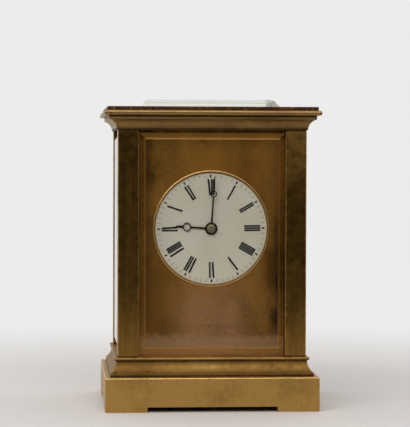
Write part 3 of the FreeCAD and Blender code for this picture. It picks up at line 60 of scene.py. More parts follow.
# %% Camera
IMAGE_HEIGHT = 427
FOCAL_PIXELS = 1974.0
SENSOR = 36.0
CAMERA_PLACE = Vector((-0.0722, -0.937, 0.1157))
YAW, PITCH, ROLL = math.radians(4.37), math.radians(-1.60), math.radians(0.17)

camera_data = bpy.data.cameras.new("studio_camera")
camera_data.sensor_width = SENSOR
camera_data.lens = FOCAL_PIXELS / IMAGE_HEIGHT * SENSOR
camera = bpy.data.objects.new("studio_camera", camera_data)
bpy.context.collection.objects.link(camera)
level = Vector((math.sin(YAW), math.cos(YAW), 0.0))
ahead = level * math.cos(PITCH) + Vector((0, 0, 1)) * math.sin(PITCH)
right = Vector((math.cos(YAW), -math.sin(YAW), 0.0))
turn = Matrix.Rotation(-ROLL, 3, ahead)
axes = Matrix((turn @ right, turn @ right.cross(ahead), -ahead)).transposed()
camera.matrix_world = Matrix.Translation(CAMERA_PLACE) @ axes.to_4x4()
bpy.context.scene.camera = camera
bpy.context.scene.view_settings.view_transform = "Standard"
print("camera looks along", [round(v, 3) for v in ahead])

# %% [markdown]
# Finishes are reckoned from patterns, and patterns are numbers: so one small class stands for a node's
# output and lets plain arithmetic add the Math nodes. Every other node comes from one method, which sets
# the node's options first and then its inputs.

# %% Shader arithmetic
class Signal:
    """One output of a shader node, to reckon with."""

    def __init__(self, tree, output):
        self.tree = tree
        self.output = output

    @staticmethod
    def plug(socket, value):
        """Link a signal to a socket, or set a plain value on it."""
        if isinstance(value, Signal):
            value.tree.links.new(value.output, socket)
        else:
            socket.default_value = value

    @classmethod
    def node(cls, tree, kind, settings, inputs, output=0):
        """Add a node, set its options, set or link its inputs, and give one of its outputs."""
        made = tree.nodes.new(kind)
        for name, value in settings.items():
            setattr(made, name, value)
        for name, value in inputs.items():
            cls.plug(made.inputs[name], value)
        return cls(tree, made.outputs[output])

    def math(self, operation, *values):
        """Add a Math node with these values or signals as its inputs."""
        return Signal.node(self.tree, "ShaderNodeMath", {"operation": operation}, dict(enumerate(values)))

    def __add__(self, other):
        return self.math("ADD", self, other)

    __radd__ = __add__

    def __sub__(self, other):
        return self.math("SUBTRACT", self, other)

    def __rsub__(self, other):
        return self.math("SUBTRACT", other, self)

    def __mul__(self, other):
        return self.math("MULTIPLY", self, other)

    __rmul__ = __mul__

    def __pow__(self, power):
        return self.math("POWER", self, power)

    def __abs__(self):
        return self.math("ABSOLUTE", self)


print("signals add, subtract, multiply, raise and take absolute values")

# %% [markdown]
# A few short helpers make the finishes readable: a colour as it looks on a screen turned into light
# values, a mix of two colours, a smooth step, a clamp, and a noise that can be drawn out along an axis to
# make lines.

# %% Finish helpers
def light_values(red, green, blue):
    """Screen colour, 0 to 255, as linear light with full alpha, by the usual curve of screens."""
    linear = []
    for part in (red / 255, green / 255, blue / 255):
        linear.append(part / 12.92 if part <= 0.04045 else ((part + 0.055) / 1.055) ** 2.4)
    return tuple(linear) + (1.0,)


def blend(factor, first, second):
    """Colour between two colours."""
    settings = {"data_type": "RGBA"}
    return Signal.node(factor.tree, "ShaderNodeMix", settings, {0: factor, 6: first, 7: second}, 2)


def tinted(factor, colour, screen_colour):
    """A colour, taken towards a screen colour by a factor."""
    return blend(factor, colour, light_values(*screen_colour))


def step_between(value, low, high):
    """0 below low, 1 above high, smooth between."""
    settings = {"interpolation_type": "SMOOTHSTEP"}
    return Signal.node(value.tree, "ShaderNodeMapRange", settings, {0: value, 1: low, 2: high})


def clamped(value):
    """A signal kept between 0 and 1."""
    return Signal.node(value.tree, "ShaderNodeClamp", {}, {0: value})


def bumped(height, strength, depth):
    """Normal of a surface that stands up by a height pattern."""
    inputs = {"Strength": strength, "Distance": depth, "Height": height}
    return Signal.node(height.tree, "ShaderNodeBump", {}, inputs)


def place_on(tree):
    """Object coordinates."""
    return Signal.node(tree, "ShaderNodeTexCoord", {}, {}, "Object")


def parts_of(place):
    """The x, y and z of a place, as three signals."""
    return [Signal.node(place.tree, "ShaderNodeSeparateXYZ", {}, {0: place}, axis) for axis in "XYZ"]


def noise(where, scale, detail=3.0, stretch=(1, 1, 1)):
    """Soft random pattern, 0 to 1; a stretch below 1 draws it out along that axis."""
    placed = Signal.node(where.tree, "ShaderNodeMapping", {}, {"Vector": where, "Scale": stretch})
    inputs = {"Vector": placed, "Scale": scale, "Detail": detail}
    return Signal.node(where.tree, "ShaderNodeTexNoise", {}, inputs)


def new_finish(name):
    """Empty material, its tree and its main shader node."""
    material = bpy.data.materials.new(name)
    material.use_nodes = True
    return material, material.node_tree, material.node_tree.nodes["Principled BSDF"]


def feed(shader, **inputs):
    """Set or link a shader's sockets by name."""
    for name, value in inputs.items():
        Signal.plug(shader.inputs[name.replace("_", " ")], value)


def see_through(tree, shader, share, tinge):
    """Mix a see-through shader with the main one, whose share is a signal, and show the mix."""
    clear = Signal.node(tree, "ShaderNodeBsdfTransparent", {}, {"Color": tinge})
    main = Signal(tree, shader.outputs[0])
    mixed = Signal.node(tree, "ShaderNodeMixShader", {}, {0: share, 1: clear, 2: main})
    feed(tree.nodes["Material Output"], Surface=mixed)


def dress(material, *names):
    """Put one finish on whole nodes."""
    for name in names:
        data = nodes[name].data
        data.materials.clear()
        data.materials.append(material)


print("finish helpers ready")

# %% [markdown]
# Old lacquered brass is a warm metal whose colour drifts from honey to brown where the lacquer has gone.
# Patterns at several sizes make it: wide clouds of tarnish, a finer mottle, and the straight lines that
# the maker's grinding left. The lines are a noise drawn out along one axis. A painted highlight lies
# along some edges, standing for the light that their rounding would catch, and painted shade darkens the
# inner corners and recesses, so the recipe also takes rules that say where the metal gets painted
# highlight or painted shade, where it is moulded and where it is paler.

# %% Recipe for aged brass
HIGHLIGHT_BRASS = (226, 186, 116)
PALE_BRASS = (214, 160, 84)
DULL_BRASS = (112, 80, 40)
PIT_BROWN = (66, 46, 20)
RECESS_SHADE_COLOUR = (58, 38, 15)
ROUND_CASE = (0.02, 0.02, 1)


def nowhere(x, y, z):
    """The rule for a brass without such places."""
    return x * 0.0


def brass(name, clean, tarnished, cloud, grain, rough, lines_share=0.5, **places):
    """Aged brass from two colours, a share of tarnish, the grain's stretch and a mean roughness."""
    material, tree, shader = new_finish(name)
    where = place_on(tree)
    spot = parts_of(where)
    kinds = ("worn", "grimed", "moulded", "paler")
    worn, grimed, moulded, paler = [places.get(kind, nowhere)(*spot) for kind in kinds]
    clouds = step_between(noise(where, 38.0, 4.0), 0.62 - cloud, 0.92 - cloud)
    mottle = noise(where, 330.0, 6.0)
    lines = noise(where, 900.0, 3.0, grain)
    speckle = noise(where, 1500.0, 3.0)
    streaks = noise(where, 700.0, 3.0, ROUND_CASE) * moulded
    tint = clouds * 0.6 + (mottle - 0.5) * 0.7 + (speckle - 0.5) * 0.6
    tint = tint + (lines - 0.5) * lines_share * 1.6 + streaks * 0.9
    colour = blend(clamped(tint), light_values(*clean), light_values(*tarnished))
    colour = tinted(moulded * 0.5, colour, DULL_BRASS)
    colour = tinted(paler * (0.4 + mottle * 0.6), colour, PALE_BRASS)
    pits = step_between(noise(where, 420.0, 0.0), 0.80, 0.85)
    colour = tinted(pits * 0.7, colour, PIT_BROWN)
    # Painted highlight along the edges that a rule names, broken up by the mottle.
    painted_highlight = worn * step_between(mottle, 0.3, 0.6)
    colour = tinted(painted_highlight * 0.7, colour, HIGHLIGHT_BRASS)
    # Painted shade in the corners and recesses that a rule names, broken by the mottle, with the
    # roughness raised there.
    shade_mask = grimed * (0.55 + mottle * 0.5)
    colour = tinted(shade_mask, colour, RECESS_SHADE_COLOUR)
    dullness = clouds * 0.08 + shade_mask * 0.2 + moulded * 0.1 + paler * 0.1 - painted_highlight * 0.06
    feed(shader, Base_Color=colour, Metallic=1.0, Roughness=rough + (mottle - 0.5) * 0.22 + dullness,
         Normal=bumped(mottle * 0.4 + lines * lines_share - pits * 0.6, 0.14, 0.2 * MM))
    return material


print("brass recipe ready")

# %% [markdown]
# Where a piece gets painted highlight or painted shade follows from its own coordinates: an edge is a
# place where a coordinate comes close to a known height or width, which the imported boxes give. So each
# rule below is a band or a step on x, y or z.

# %% Painted highlight, painted shade and moulded places
PLINTH_TOP = 15.8 * MM
COVE_TOP = 22.9 * MM
CORNICE_BAND = 2.6 * MM
EDGE = 0.5 * MM
pillar_low, pillar_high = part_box("pillar_front_right")
cornice_low, cornice_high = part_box("cornice_frame")
base_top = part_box("base_plinth")[1].z
pillar_face = -pillar_low.y


def band(value, middle, half):
    """1 at a value, fading to 0 at half a width from it."""
    return 1 - step_between(abs(value - middle), half * 0.35, half)


def pillar_edge_highlight(x, y, z):
    """Painted highlight along the upright edges of the front and rear faces."""
    edges = band(abs(x), pillar_low.x, EDGE) + band(abs(x), pillar_high.x, EDGE)
    return clamped(edges * step_between(abs(y), pillar_face - 0.4 * MM, pillar_face - 0.1 * MM))


def pillar_end_shade(x, y, z):
    """Painted shade at the foot and under the cornice."""
    return clamped(band(z, pillar_low.z, 0.9 * MM) + band(z, pillar_high.z, 1.2 * MM))


def pillar_pale(x, y, z):
    """Paler towards the feet, and high on the right."""
    foot = 1 - step_between(z, pillar_low.z + 2 * MM, pillar_low.z + 34 * MM)
    on_right = step_between(x, 0.0, 1 * MM)
    head = on_right * step_between(z, pillar_high.z - 36 * MM, pillar_high.z - 12 * MM)
    return foot * 0.35 + head * 0.45


def base_edge_highlight(x, y, z):
    """Painted highlight along the plinth's upper edge, and less along the top of the whole base."""
    below_top = 0.3 * MM
    return clamped(band(z, PLINTH_TOP - below_top, EDGE) + band(z, base_top - below_top, EDGE) * 0.4)


def base_recess_shade(x, y, z):
    """Painted shade in the corners above the plinth and above the cove."""
    return clamped(band(z, PLINTH_TOP + 0.5 * MM, 0.7 * MM) + band(z, COVE_TOP, 0.6 * MM) * 0.7)


def base_moulding(x, y, z):
    """All of the base above its plinth."""
    return step_between(z, PLINTH_TOP, PLINTH_TOP + 0.6 * MM)


def cornice_moulding(x, y, z):
    """The cornice below its round band."""
    return (1 - step_between(z, cornice_high.z - 3.0 * MM, cornice_high.z - 2.4 * MM)) * 0.45


def cornice_recess_shade(x, y, z):
    """Painted shade under the round band and along the cornice's foot."""
    under_band = band(z, cornice_high.z - CORNICE_BAND, EDGE)
    return clamped(under_band + band(z, cornice_low.z + 0.3 * MM, 0.6 * MM))


print("base moulding from", round(PLINTH_TOP / MM, 1), "to", round(base_top / MM, 1), "mm")

# %% [markdown]
# The pieces of the case were cast, ground and lacquered apart, so each kind has its own brass: they
# differ in colour, in tarnish, in polish, and in the way the grinding runs. On the cornice it runs round
# the case, on the other pieces upwards.

# %% Brass of the case
ANY_WAY, ALONG_Z, ALONG_CORNICE = (1, 1, 1), (1, 1, 0.03), (0.04, 0.04, 1)
base_brass = brass("base_brass", clean=(192, 152, 84), tarnished=(128, 92, 42), cloud=0.18,
                   grain=ALONG_Z, rough=0.42, lines_share=0.25,
                   worn=base_edge_highlight, grimed=base_recess_shade, moulded=base_moulding)
cornice_brass = brass("cornice_brass", clean=(164, 131, 80), tarnished=(114, 86, 48), cloud=0.16,
                      grain=ALONG_CORNICE, rough=0.42, lines_share=0.9,
                      grimed=cornice_recess_shade, moulded=cornice_moulding)
pillar_brass = brass("pillar_brass", clean=(160, 120, 56), tarnished=(92, 68, 28), cloud=0.26,
                     grain=ALONG_Z, rough=0.22, lines_share=0.75,
                     worn=pillar_edge_highlight, grimed=pillar_end_shade, paler=pillar_pale)
door_brass = brass("door_brass", clean=(168, 128, 64), tarnished=(124, 90, 42), cloud=0.20,
                   grain=ALONG_Z, rough=0.38)
dress(base_brass, "base_plinth")
dress(cornice_brass, "cornice_frame")
dress(pillar_brass, "pillar_front_left", "pillar_front_right", "pillar_rear_left", "pillar_rear_right")
dress(door_brass, "door_frame", "door_knob")
print("case brass: 4 finishes")

# %% [markdown]
# The mask behind the front glass was never lacquered as well as the case. It is redder, with amber
# patches of old lacquer. Its ground is a blend of two brasses by wide smoke, a mottle and a grit. Places
# on it are easiest to give in millimetres, so three small helpers take them that way.

# %% Ground of the brass mask
MASK_CLEAN, MASK_DULL, AMBER = (206, 143, 62), (128, 84, 32), (206, 122, 40)


def past(value, low, high):
    """0 below one place and 1 above another, in millimetres."""
    return step_between(value, low * MM, high * MM)


def short_of(value, low, high):
    """1 below one place and 0 above another, in millimetres."""
    return 1 - past(value, low, high)


def ragged(value, pattern, reach):
    """A coordinate that a pattern pushes to and fro, within a reach in millimetres."""
    return value + (pattern - 0.5) * (reach * MM)


mask_brass, tree, shader = new_finish("mask_brass")
where = place_on(tree)
x, _, z = parts_of(where)
smoke = noise(where, 30.0, 5.0, (1.6, 1, 0.8))
mottle = noise(where, 520.0, 6.0)
brushed = noise(where, 800.0, 2.0, (0.05, 1, 1))
grit = noise(where, 1500.0, 3.0)
tint = step_between(smoke, 0.38, 0.66) * 0.6 + (mottle - 0.5) * 1.1 + (grit - 0.5) * 0.8 + 0.1
colour = blend(clamped(tint), light_values(*MASK_CLEAN), light_values(*MASK_DULL))
amber = step_between(noise(where, 44.0, 3.0, (1, 1, 0.7)), 0.48, 0.70)
colour = tinted(amber * 0.3, colour, AMBER)
print("mask: amber patches over brass")

# %% [markdown]
# Damp and smoke come next, each as a mask made of a place and a noise. A pinkish bloom lies low in the
# middle, with olive brown beside it, mostly on the left. Soot has settled along the sides, more above
# than below, and painted shade darkens the right side further, as the side away from the light, where
# one stretch of the edge is darker still.

# %% Bloom, soot and painted shade on the mask
BLOOM_PINK, OLIVE_BROWN, SOOT_AND_SHADE_BROWN = (174, 134, 112), (120, 78, 18), (66, 40, 10)
low_half = short_of(ragged(z, smoke, 40), 40, 74)
middle = short_of(abs(x), 6, 25)
bloom = low_half * (0.2 + middle * 0.8) * step_between(mottle, -0.2, 0.9)
colour = tinted(bloom * 0.8, colour, BLOOM_PINK)
leftward = 1 - past(x, 0, 20) * 0.75
low_sides = past(ragged(abs(x), smoke, 10), 8, 26) * leftward * 0.7 * short_of(z, 58, 78)
colour = tinted(low_sides, colour, OLIVE_BROWN)
# Soot along both sides, with painted shade added on the right, the side away from the light; one stretch
# of the right edge is darker still.
sides = past(ragged(abs(x), smoke, 20), 22, 34) + past(x, 8, 32) * 0.7
upper_part = past(z, 34, 60)
soot_and_shade = clamped(sides * (0.35 + step_between(smoke, 0.4, 0.7)) * (0.35 + upper_part * 0.65))
right_strip = past(x, 22, 28) * band(z, 65 * MM, 14 * MM)
soot_and_shade = clamped(soot_and_shade * 0.65 + right_strip * 0.5)
colour = tinted(soot_and_shade, colour, SOOT_AND_SHADE_BROWN)
print("mask: bloom, olive brown and soot")

# %% [markdown]
# Last on the mask are the small marks near its foot: a ragged pale strip where the lacquer has gone, one
# dark stain on the right, specks, and level streaks. The roughness rises with the bloom, and a fine bump
# of mottle and brush lines breaks the light.

# %% Marks at the foot of the mask
BARE_STRIP, STAIN_BROWN = (206, 156, 112), (44, 30, 14)
SPECK_BROWN, STREAK_BROWN = (66, 42, 22), (118, 80, 52)
STAIN = Vector((29.6, 0.0, 41.0)) * MM
bare_strip = short_of(ragged(z, mottle, 6), 31, 36)
colour = tinted(bare_strip * 0.8, colour, BARE_STRIP)
apart = ((x - STAIN.x) ** 2 + ((z - STAIN.z) * 0.5) ** 2) ** 0.5
stain = short_of(ragged(apart, mottle, 6), 0.6, 3.6)
colour = tinted(stain * 0.7, colour, STAIN_BROWN)
specks = step_between(noise(where, 640.0, 2.0), 0.62, 0.70) * short_of(z, 30, 70)
colour = tinted(specks * 0.55, colour, SPECK_BROWN)
streaks = step_between(noise(where, 380.0, 2.0, (0.03, 1, 1)), 0.5, 0.7) * short_of(z, 32, 46)
colour = tinted(streaks * 0.3, colour, STREAK_BROWN)
feed(shader, Base_Color=colour, Metallic=1.0, Roughness=0.40 + (mottle - 0.5) * 0.2 + bloom * 0.18,
     Normal=bumped(mottle * 0.5 + brushed * 0.5, 0.12, 0.2 * MM))
dress(mask_brass, "dial_mask")
print("mask: bare strip, stain, specks and streaks")

# %% [markdown]
# The plate on top is bronzed dark brown. Its finish is thin: it is speckled all over, and along its edges
# bits of bare brass show, as a noise that only counts near the rim.

# %% Bronzed top plate
BRONZE_DARK, BRONZE_LIGHT = (72, 44, 26), (106, 68, 40)
BRONZE_SPECK, BARE_BRASS = (44, 26, 13), (158, 116, 66)
plate_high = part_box("top_plate")[1]


def rim_of_plate(value, edge):
    """1 at an edge of the plate, fading out over half a millimetre."""
    return step_between(abs(value), edge - 0.5 * MM, edge - 0.1 * MM)


top_bronze, tree, shader = new_finish("top_bronze")
where = place_on(tree)
x, y, _ = parts_of(where)
clouds = noise(where, 90.0, 5.0)
speckle = step_between(noise(where, 900.0, 3.0), 0.52, 0.64)
near_rim = clamped(rim_of_plate(x, plate_high.x) + rim_of_plate(y, plate_high.y))
chips = near_rim * step_between(noise(where, 520.0, 4.0), 0.54, 0.66)
colour = blend(step_between(clouds, 0.35, 0.7), light_values(*BRONZE_DARK), light_values(*BRONZE_LIGHT))
colour = tinted(speckle * 0.45, colour, BRONZE_SPECK)
colour = tinted(chips * 0.5, colour, BARE_BRASS)
feed(shader, Base_Color=colour, Metallic=0.85, Roughness=0.46 + speckle * 0.2,
     Normal=bumped(clouds * 0.4 + speckle * 0.6, 0.25, 0.3 * MM))
dress(top_bronze, "top_plate")
print("top plate bronzed, with chips along", round(plate_high.x * 2 / MM, 1), "mm edges")

# %% [markdown]
# Plate glass is nearly invisible where it faces the eye and mirrors more at a slant. A mix of a
# see-through and a polished shader does that, and light and shadow still pass through to the dial. The
# factor is the slant of the face to the fifth power, the usual rule for glass, and not the Fresnel node:
# seen from inside, that node mirrors everything beyond forty degrees, and a see-through shader, which
# doesn't bend the rays, would shut the light out. The bevels of the front pane get a painted reflection
# of the brass round them: a faint golden gleam, and a thin golden line painted along the ridge where a
# bevel starts, both dimmer along the top. The glass on top has such a painted line round its raised face.

# %% Glass
BEVEL_REFLECTION_GOLD, WHITE = (212, 154, 74), (255, 255, 255)
PANE_TINGE, LIGHT_TINGE = (248, 250, 247), (250, 252, 247)
PANE_BEVEL, LIGHT_BEVEL = 4.4 * MM, 3.2 * MM


def no_ridge(x, y, z):
    """Plain glass: no bevel, no arris and no gleam."""
    return x * 0.0, x * 0.0, x * 0.0


def front_ridge(x, y, z):
    """Where the front pane's bevel is, the ridge along its inner edge for a painted line, and the painted
    gleam, less above.
    """
    low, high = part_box("front_glass")
    bevel_top = high.z - PANE_BEVEL
    across = abs(x) - (high.x - PANE_BEVEL)
    upward = abs(z - (low.z + high.z) / 2) - ((high.z - low.z) / 2 - PANE_BEVEL)
    outside = x.math("MAXIMUM", across, upward)
    bevel = step_between(outside, -0.1 * MM, 0.3 * MM)
    dimmed = 1 - step_between(z, bevel_top - 0.2 * MM, bevel_top + 0.2 * MM) * 0.65
    return bevel, band(outside, 0.25 * MM, 0.6 * MM) * dimmed, bevel * dimmed


def light_ridge(x, y, z):
    """The painted line at the arris round the raised face of the glass on top, and nothing on its bevels.
    """
    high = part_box("top_glass")[1]
    outside = x.math("MAXIMUM", abs(x) - (high.x - LIGHT_BEVEL), abs(y) - (high.y - LIGHT_BEVEL))
    arris = band(outside, 0.1 * MM, 0.5 * MM) * step_between(z, high.z - 0.6 * MM, high.z - 0.2 * MM)
    return x * 0.0, arris, x * 0.0


def clear_glass(name, tinge, film_amount, ridge=no_ridge):
    """Glass that lets light through: see-through where it faces the eye, mirroring at a slant."""
    material, tree, shader = new_finish(name)
    where = place_on(tree)
    film = step_between(noise(where, 24.0, 4.0), 0.45, 0.8)
    slant = Signal.node(tree, "ShaderNodeLayerWeight", {}, {"Blend": 0.5}, "Facing")
    bevel, arris, gleam = ridge(*parts_of(where))
    lit_edge = clamped(bevel + arris)
    # Painted golden reflection on the bevels and at the ridges, standing for the brass seen through the
    # glass.
    colour = blend(lit_edge, light_values(*WHITE), light_values(*BEVEL_REFLECTION_GOLD))
    feed(shader, Base_Color=colour, Metallic=1.0, Roughness=0.03 + film * 0.06 + lit_edge * 0.3)
    mirrored = (0.04 + slant ** 5.0 * 0.94) * (1 - lit_edge * 0.9)
    share = mirrored + film * film_amount + gleam * 0.12 + arris * 0.22
    see_through(tree, shader, share, light_values(*tinge))
    return material


dress(clear_glass("front_pane", PANE_TINGE, 0.012, front_ridge), "front_glass")
dress(clear_glass("side_pane", PANE_TINGE, 0.012), "left_glass", "right_glass", "door_glass")
dress(clear_glass("light_glass", LIGHT_TINGE, 0.02, light_ridge), "top_glass")
print("glass: front pane, three plain panes and the light on top")

# %% [markdown]
# The movement is of gilt brass plates and wheels with steel arbors, springs and screws. Both are cleaner
# than the case, because the glass kept them dry. Steel gets fine polishing marks: a noise drawn out from
# front to back, the way the arbors lie.

# %% Movement brass and steel
gilt_brass = brass("gilt_brass", clean=(220, 182, 104), tarnished=(190, 148, 76), cloud=0.06,
                   grain=ANY_WAY, rough=0.40)
brass_nodes = ["front_plate", "back_plate", "movement_posts", "barrel_drum", "barrel_cover",
               "intermediate_wheel", "centre_wheel", "third_wheel", "contrate_wheel", "cannon_pinion",
               "minute_wheel", "hour_wheel", "platform_plate", "escape_wheel", "escape_bridge",
               "balance_wheel", "balance_cock", "dial_feet"]
dress(gilt_brass, *brass_nodes)


def steel(name, pale, dark, rough):
    """Polished or blued steel with fine polishing marks."""
    material, tree, shader = new_finish(name)
    where = place_on(tree)
    clouds = noise(where, 150.0, 3.0)
    marks = noise(where, 2600.0, 2.0, (1, 0.1, 1))
    tint = clamped(clouds * 0.8 + (marks - 0.5) * 0.25)
    feed(shader, Base_Color=blend(tint, light_values(*pale), light_values(*dark)), Metallic=1.0,
         Roughness=rough + (marks - 0.5) * 0.12, Normal=bumped(marks, 0.04, 0.1 * MM))
    return material


grey_steel = steel("grey_steel", pale=(178, 176, 172), dark=(120, 118, 116), rough=0.28)
dark_steel = steel("dark_steel", pale=(70, 58, 48), dark=(38, 31, 25), rough=0.34)
blued_steel = steel("blued_steel", pale=(70, 78, 122), dark=(40, 44, 78), rough=0.24)
collet_metal = steel("collet_metal", pale=(168, 153, 130), dark=(116, 104, 86), rough=0.50)
steel_nodes = ["pillar_screws_below", "pillar_screws_above", "movement_post_screws",
               "movement_seat_screws", "mainspring", "barrel_arbor", "ratchet_wheel", "click",
               "click_spring", "click_screws", "intermediate_arbor", "third_arbor", "contrate_arbor",
               "minute_wheel_stud", "platform_screws", "escape_arbor", "pallet_lever", "balance_staff",
               "hairspring", "regulator_index", "door_hinge_pins"]
dress(grey_steel, *steel_nodes)
dress(dark_steel, "hour_hand", "minute_hand")
dress(collet_metal, "hand_collet", "centre_arbor")
print("movement:", len(brass_nodes), "brass nodes and", len(steel_nodes), "steel nodes")

# %% [markdown]
# New pieces are modelled as by hand: a primitive is added alone, shaped in edit mode, and finished. These
# helpers hold the steps that come back each time. Faces and points are picked in code, by their place.

# %% Modelling helpers
FACING_FRONT = (math.radians(90), 0, 0)


def select_only(*pieces):
    """Select pieces and nothing else; the first becomes the active one."""
    bpy.ops.object.select_all(action="DESELECT")
    for piece in pieces:
        piece.select_set(True)
    bpy.context.view_layer.objects.active = pieces[0]


def add_primitive(operator, **settings):
    """Add a primitive with nothing else selected, and go into edit mode with all of it selected."""
    bpy.ops.object.select_all(action="DESELECT")
    operator(**settings)
    bpy.ops.object.transform_apply(location=True, rotation=True, scale=True)
    bpy.ops.object.mode_set(mode="EDIT")
    bpy.ops.mesh.select_all(action="SELECT")
    return bpy.context.object


def pick(piece, kind, wanted):
    """Select the faces or points that a rule on their middle picks, and nothing else."""
    bpy.ops.mesh.select_mode(type=kind)
    bpy.ops.mesh.select_all(action="DESELECT")
    bpy.ops.object.mode_set(mode="OBJECT")
    if kind == "FACE":
        for face in piece.data.polygons:
            face.select = wanted(face.center)
    else:
        for point in piece.data.vertices:
            point.select = wanted(point.co)
    bpy.ops.object.mode_set(mode="EDIT")


def extrude(x, y, z):
    """Draw what is selected out along a way."""
    bpy.ops.mesh.extrude_region_move(TRANSFORM_OT_translate={"value": (x, y, z)})


def face_outwards():
    """Point all faces of the piece in edit mode outwards."""
    bpy.ops.mesh.select_all(action="SELECT")
    bpy.ops.mesh.normals_make_consistent(inside=False)


def bridge_openings():
    """Join the two open rims with a band of faces, and point all faces outwards."""
    bpy.ops.mesh.select_mode(type="EDGE")
    bpy.ops.mesh.select_all(action="DESELECT")
    bpy.ops.mesh.select_non_manifold()
    bpy.ops.mesh.bridge_edge_loops()
    face_outwards()


def carve(piece, tool, operation):
    """Weld a tool to a piece or cut it out, and take the tool away."""
    bpy.ops.object.mode_set(mode="OBJECT")
    select_only(piece)
    change = piece.modifiers.new("carving", "BOOLEAN")
    change.operation = operation
    change.solver = "EXACT"
    change.object = tool
    bpy.ops.object.modifier_apply(modifier="carving")
    bpy.data.objects.remove(tool)


def cleaned(piece, reach):
    """Merge points that lie closer than a reach and clear needless edges out of flat faces."""
    select_only(piece)
    bpy.ops.object.mode_set(mode="EDIT")
    bpy.ops.mesh.select_mode(type="VERT")
    bpy.ops.mesh.select_all(action="SELECT")
    bpy.ops.mesh.remove_doubles(threshold=reach)
    bpy.ops.mesh.dissolve_limited(angle_limit=math.radians(1))
    bpy.ops.mesh.normals_make_consistent(inside=False)
    bpy.ops.object.mode_set(mode="OBJECT")


def copied(pattern, moved):
    """Copy of a piece, with a mesh of its own, moved by a matrix."""
    copy = pattern.copy()
    copy.data = pattern.data.copy()
    bpy.context.collection.objects.link(copy)
    copy.data.transform(moved)
    return copy


def joined(parts):
    """One piece made of several."""
    select_only(*parts)
    bpy.ops.object.join()
    return parts[0]


def finish_piece(piece, name, body, material, smooth=35):
    """Name a finished piece, smooth it, put it on its body and give it its finish."""
    if bpy.context.mode != "OBJECT":
        bpy.ops.object.mode_set(mode="OBJECT")
    piece.name = name
    piece.data.name = name
    piece.data.materials.clear()
    piece.data.materials.append(material)
    select_only(piece)
    bpy.ops.object.shade_smooth_by_angle(angle=math.radians(smooth))
    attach(piece, body)
    print(name, len(piece.data.polygons), "faces on", body)
    return piece


print("modelling helpers ready")

# %% [markdown]
# The dial is copper covered with white enamel: a very flat dome whose edge is turned down in a small
# round. A lathe would turn it; here a disc is inset ring by ring, and each ring is lifted a little, which
# gives the same form with even faces. The middle is pushed through to the back for the hand pipes. That
# leaves two faces lying at the back, the disc's first one and the pushed one, so both are deleted and a
# flat ring joins the rim to the hole.

# %% Enamel dial
dial_low, dial_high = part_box("dial_plate")
CENTRE = Vector((0, 0, (dial_low.z + dial_high.z) / 2))
RIM = (dial_high.z - dial_low.z) / 2
BACK, FACE = dial_high.y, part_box("dial_mask")[1].y
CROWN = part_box("hour_hand")[1].y + 0.3 * MM
DOME, TURNED_EDGE = 0.2 * MM, 0.8 * MM
OPENING = 26.2 * MM
HOLE = 2.7 * MM
FLAT = OPENING - TURNED_EDGE


def dial_depth(radius):
    """Depth of the dial's face at a distance from its middle: a flat dome with a rounded edge."""
    shoulder = CROWN + DOME
    if radius > FLAT:
        return FACE - (FACE - shoulder) * math.sqrt(1 - ((radius - FLAT) / TURNED_EDGE) ** 2)
    return CROWN + DOME * (radius / FLAT) ** 2


dial = add_primitive(bpy.ops.mesh.primitive_circle_add, vertices=144, radius=RIM, fill_type="NGON",
                     location=(0, BACK, CENTRE.z), rotation=FACING_FRONT)
extrude(0, FACE - BACK, 0)
bpy.ops.mesh.inset(thickness=RIM - OPENING, depth=0)
edge_rings = [FLAT + TURNED_EDGE * math.sin(math.radians(angle)) for angle in (72, 54, 36, 18, 0)]
face_rings = [FLAT * share for share in (0.86, 0.72, 0.58, 0.44, 0.30, 0.18)]
before = OPENING
for radius in edge_rings + face_rings + [HOLE]:
    bpy.ops.mesh.inset(thickness=before - radius, depth=0)
    bpy.ops.transform.translate(value=(0, dial_depth(radius) - dial_depth(before), 0))
    before = radius
extrude(0, BACK - dial_depth(HOLE), 0)
pick(dial, "FACE", lambda place: place.y > BACK - 0.01 * MM)
bpy.ops.mesh.delete(type="ONLY_FACE")
bridge_openings()
print("dial of", round(RIM * 2 / MM, 1), "mm with", len(edge_rings) + len(face_rings), "rings")

# %% [markdown]
# Enamel is glass on metal: pale, with faint clouds and a few specks of dirt fired in, and a clear coat
# over it. Near the turned edge it turns creamy, by the distance from the dial's middle.

# %% Dial enamel
ENAMEL_PALE, ENAMEL_GREY = (237, 224, 214), (227, 213, 201)
ENAMEL_SPECK, ENAMEL_CREAM = (150, 140, 122), (252, 224, 188)


def from_dial_middle(x, z):
    """Distance from the line through the dial's middle."""
    return (x ** 2 + (z - CENTRE.z) ** 2) ** 0.5


enamel, tree, shader = new_finish("dial_enamel")
where = place_on(tree)
x, _, z = parts_of(where)
clouds = noise(where, 60.0, 4.0)
specks = step_between(noise(where, 1100.0, 1.0), 0.76, 0.79)
cream_rim = past(from_dial_middle(x, z), 25.0, 25.5)
colour = blend(step_between(clouds, 0.3, 0.75), light_values(*ENAMEL_PALE), light_values(*ENAMEL_GREY))
colour = tinted(specks * 0.5, colour, ENAMEL_SPECK)
colour = tinted(cream_rim * 0.85, colour, ENAMEL_CREAM)
feed(shader, Base_Color=colour, Roughness=0.30 + clouds * 0.1, Coat_Weight=0.35, Coat_Roughness=0.08,
     Normal=bumped(noise(where, 700.0, 2.0), 0.06, 0.2 * MM))
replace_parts(finish_piece(dial, "enamel_dial", "case", enamel), "dial_plate")

# %% [markdown]
# Round the dial runs a thin gilt ring. A torus has the right round face; it is flattened a little and cut
# off flat behind, and the cut is closed with a flat band. Painted shade darkens it along its inner side.

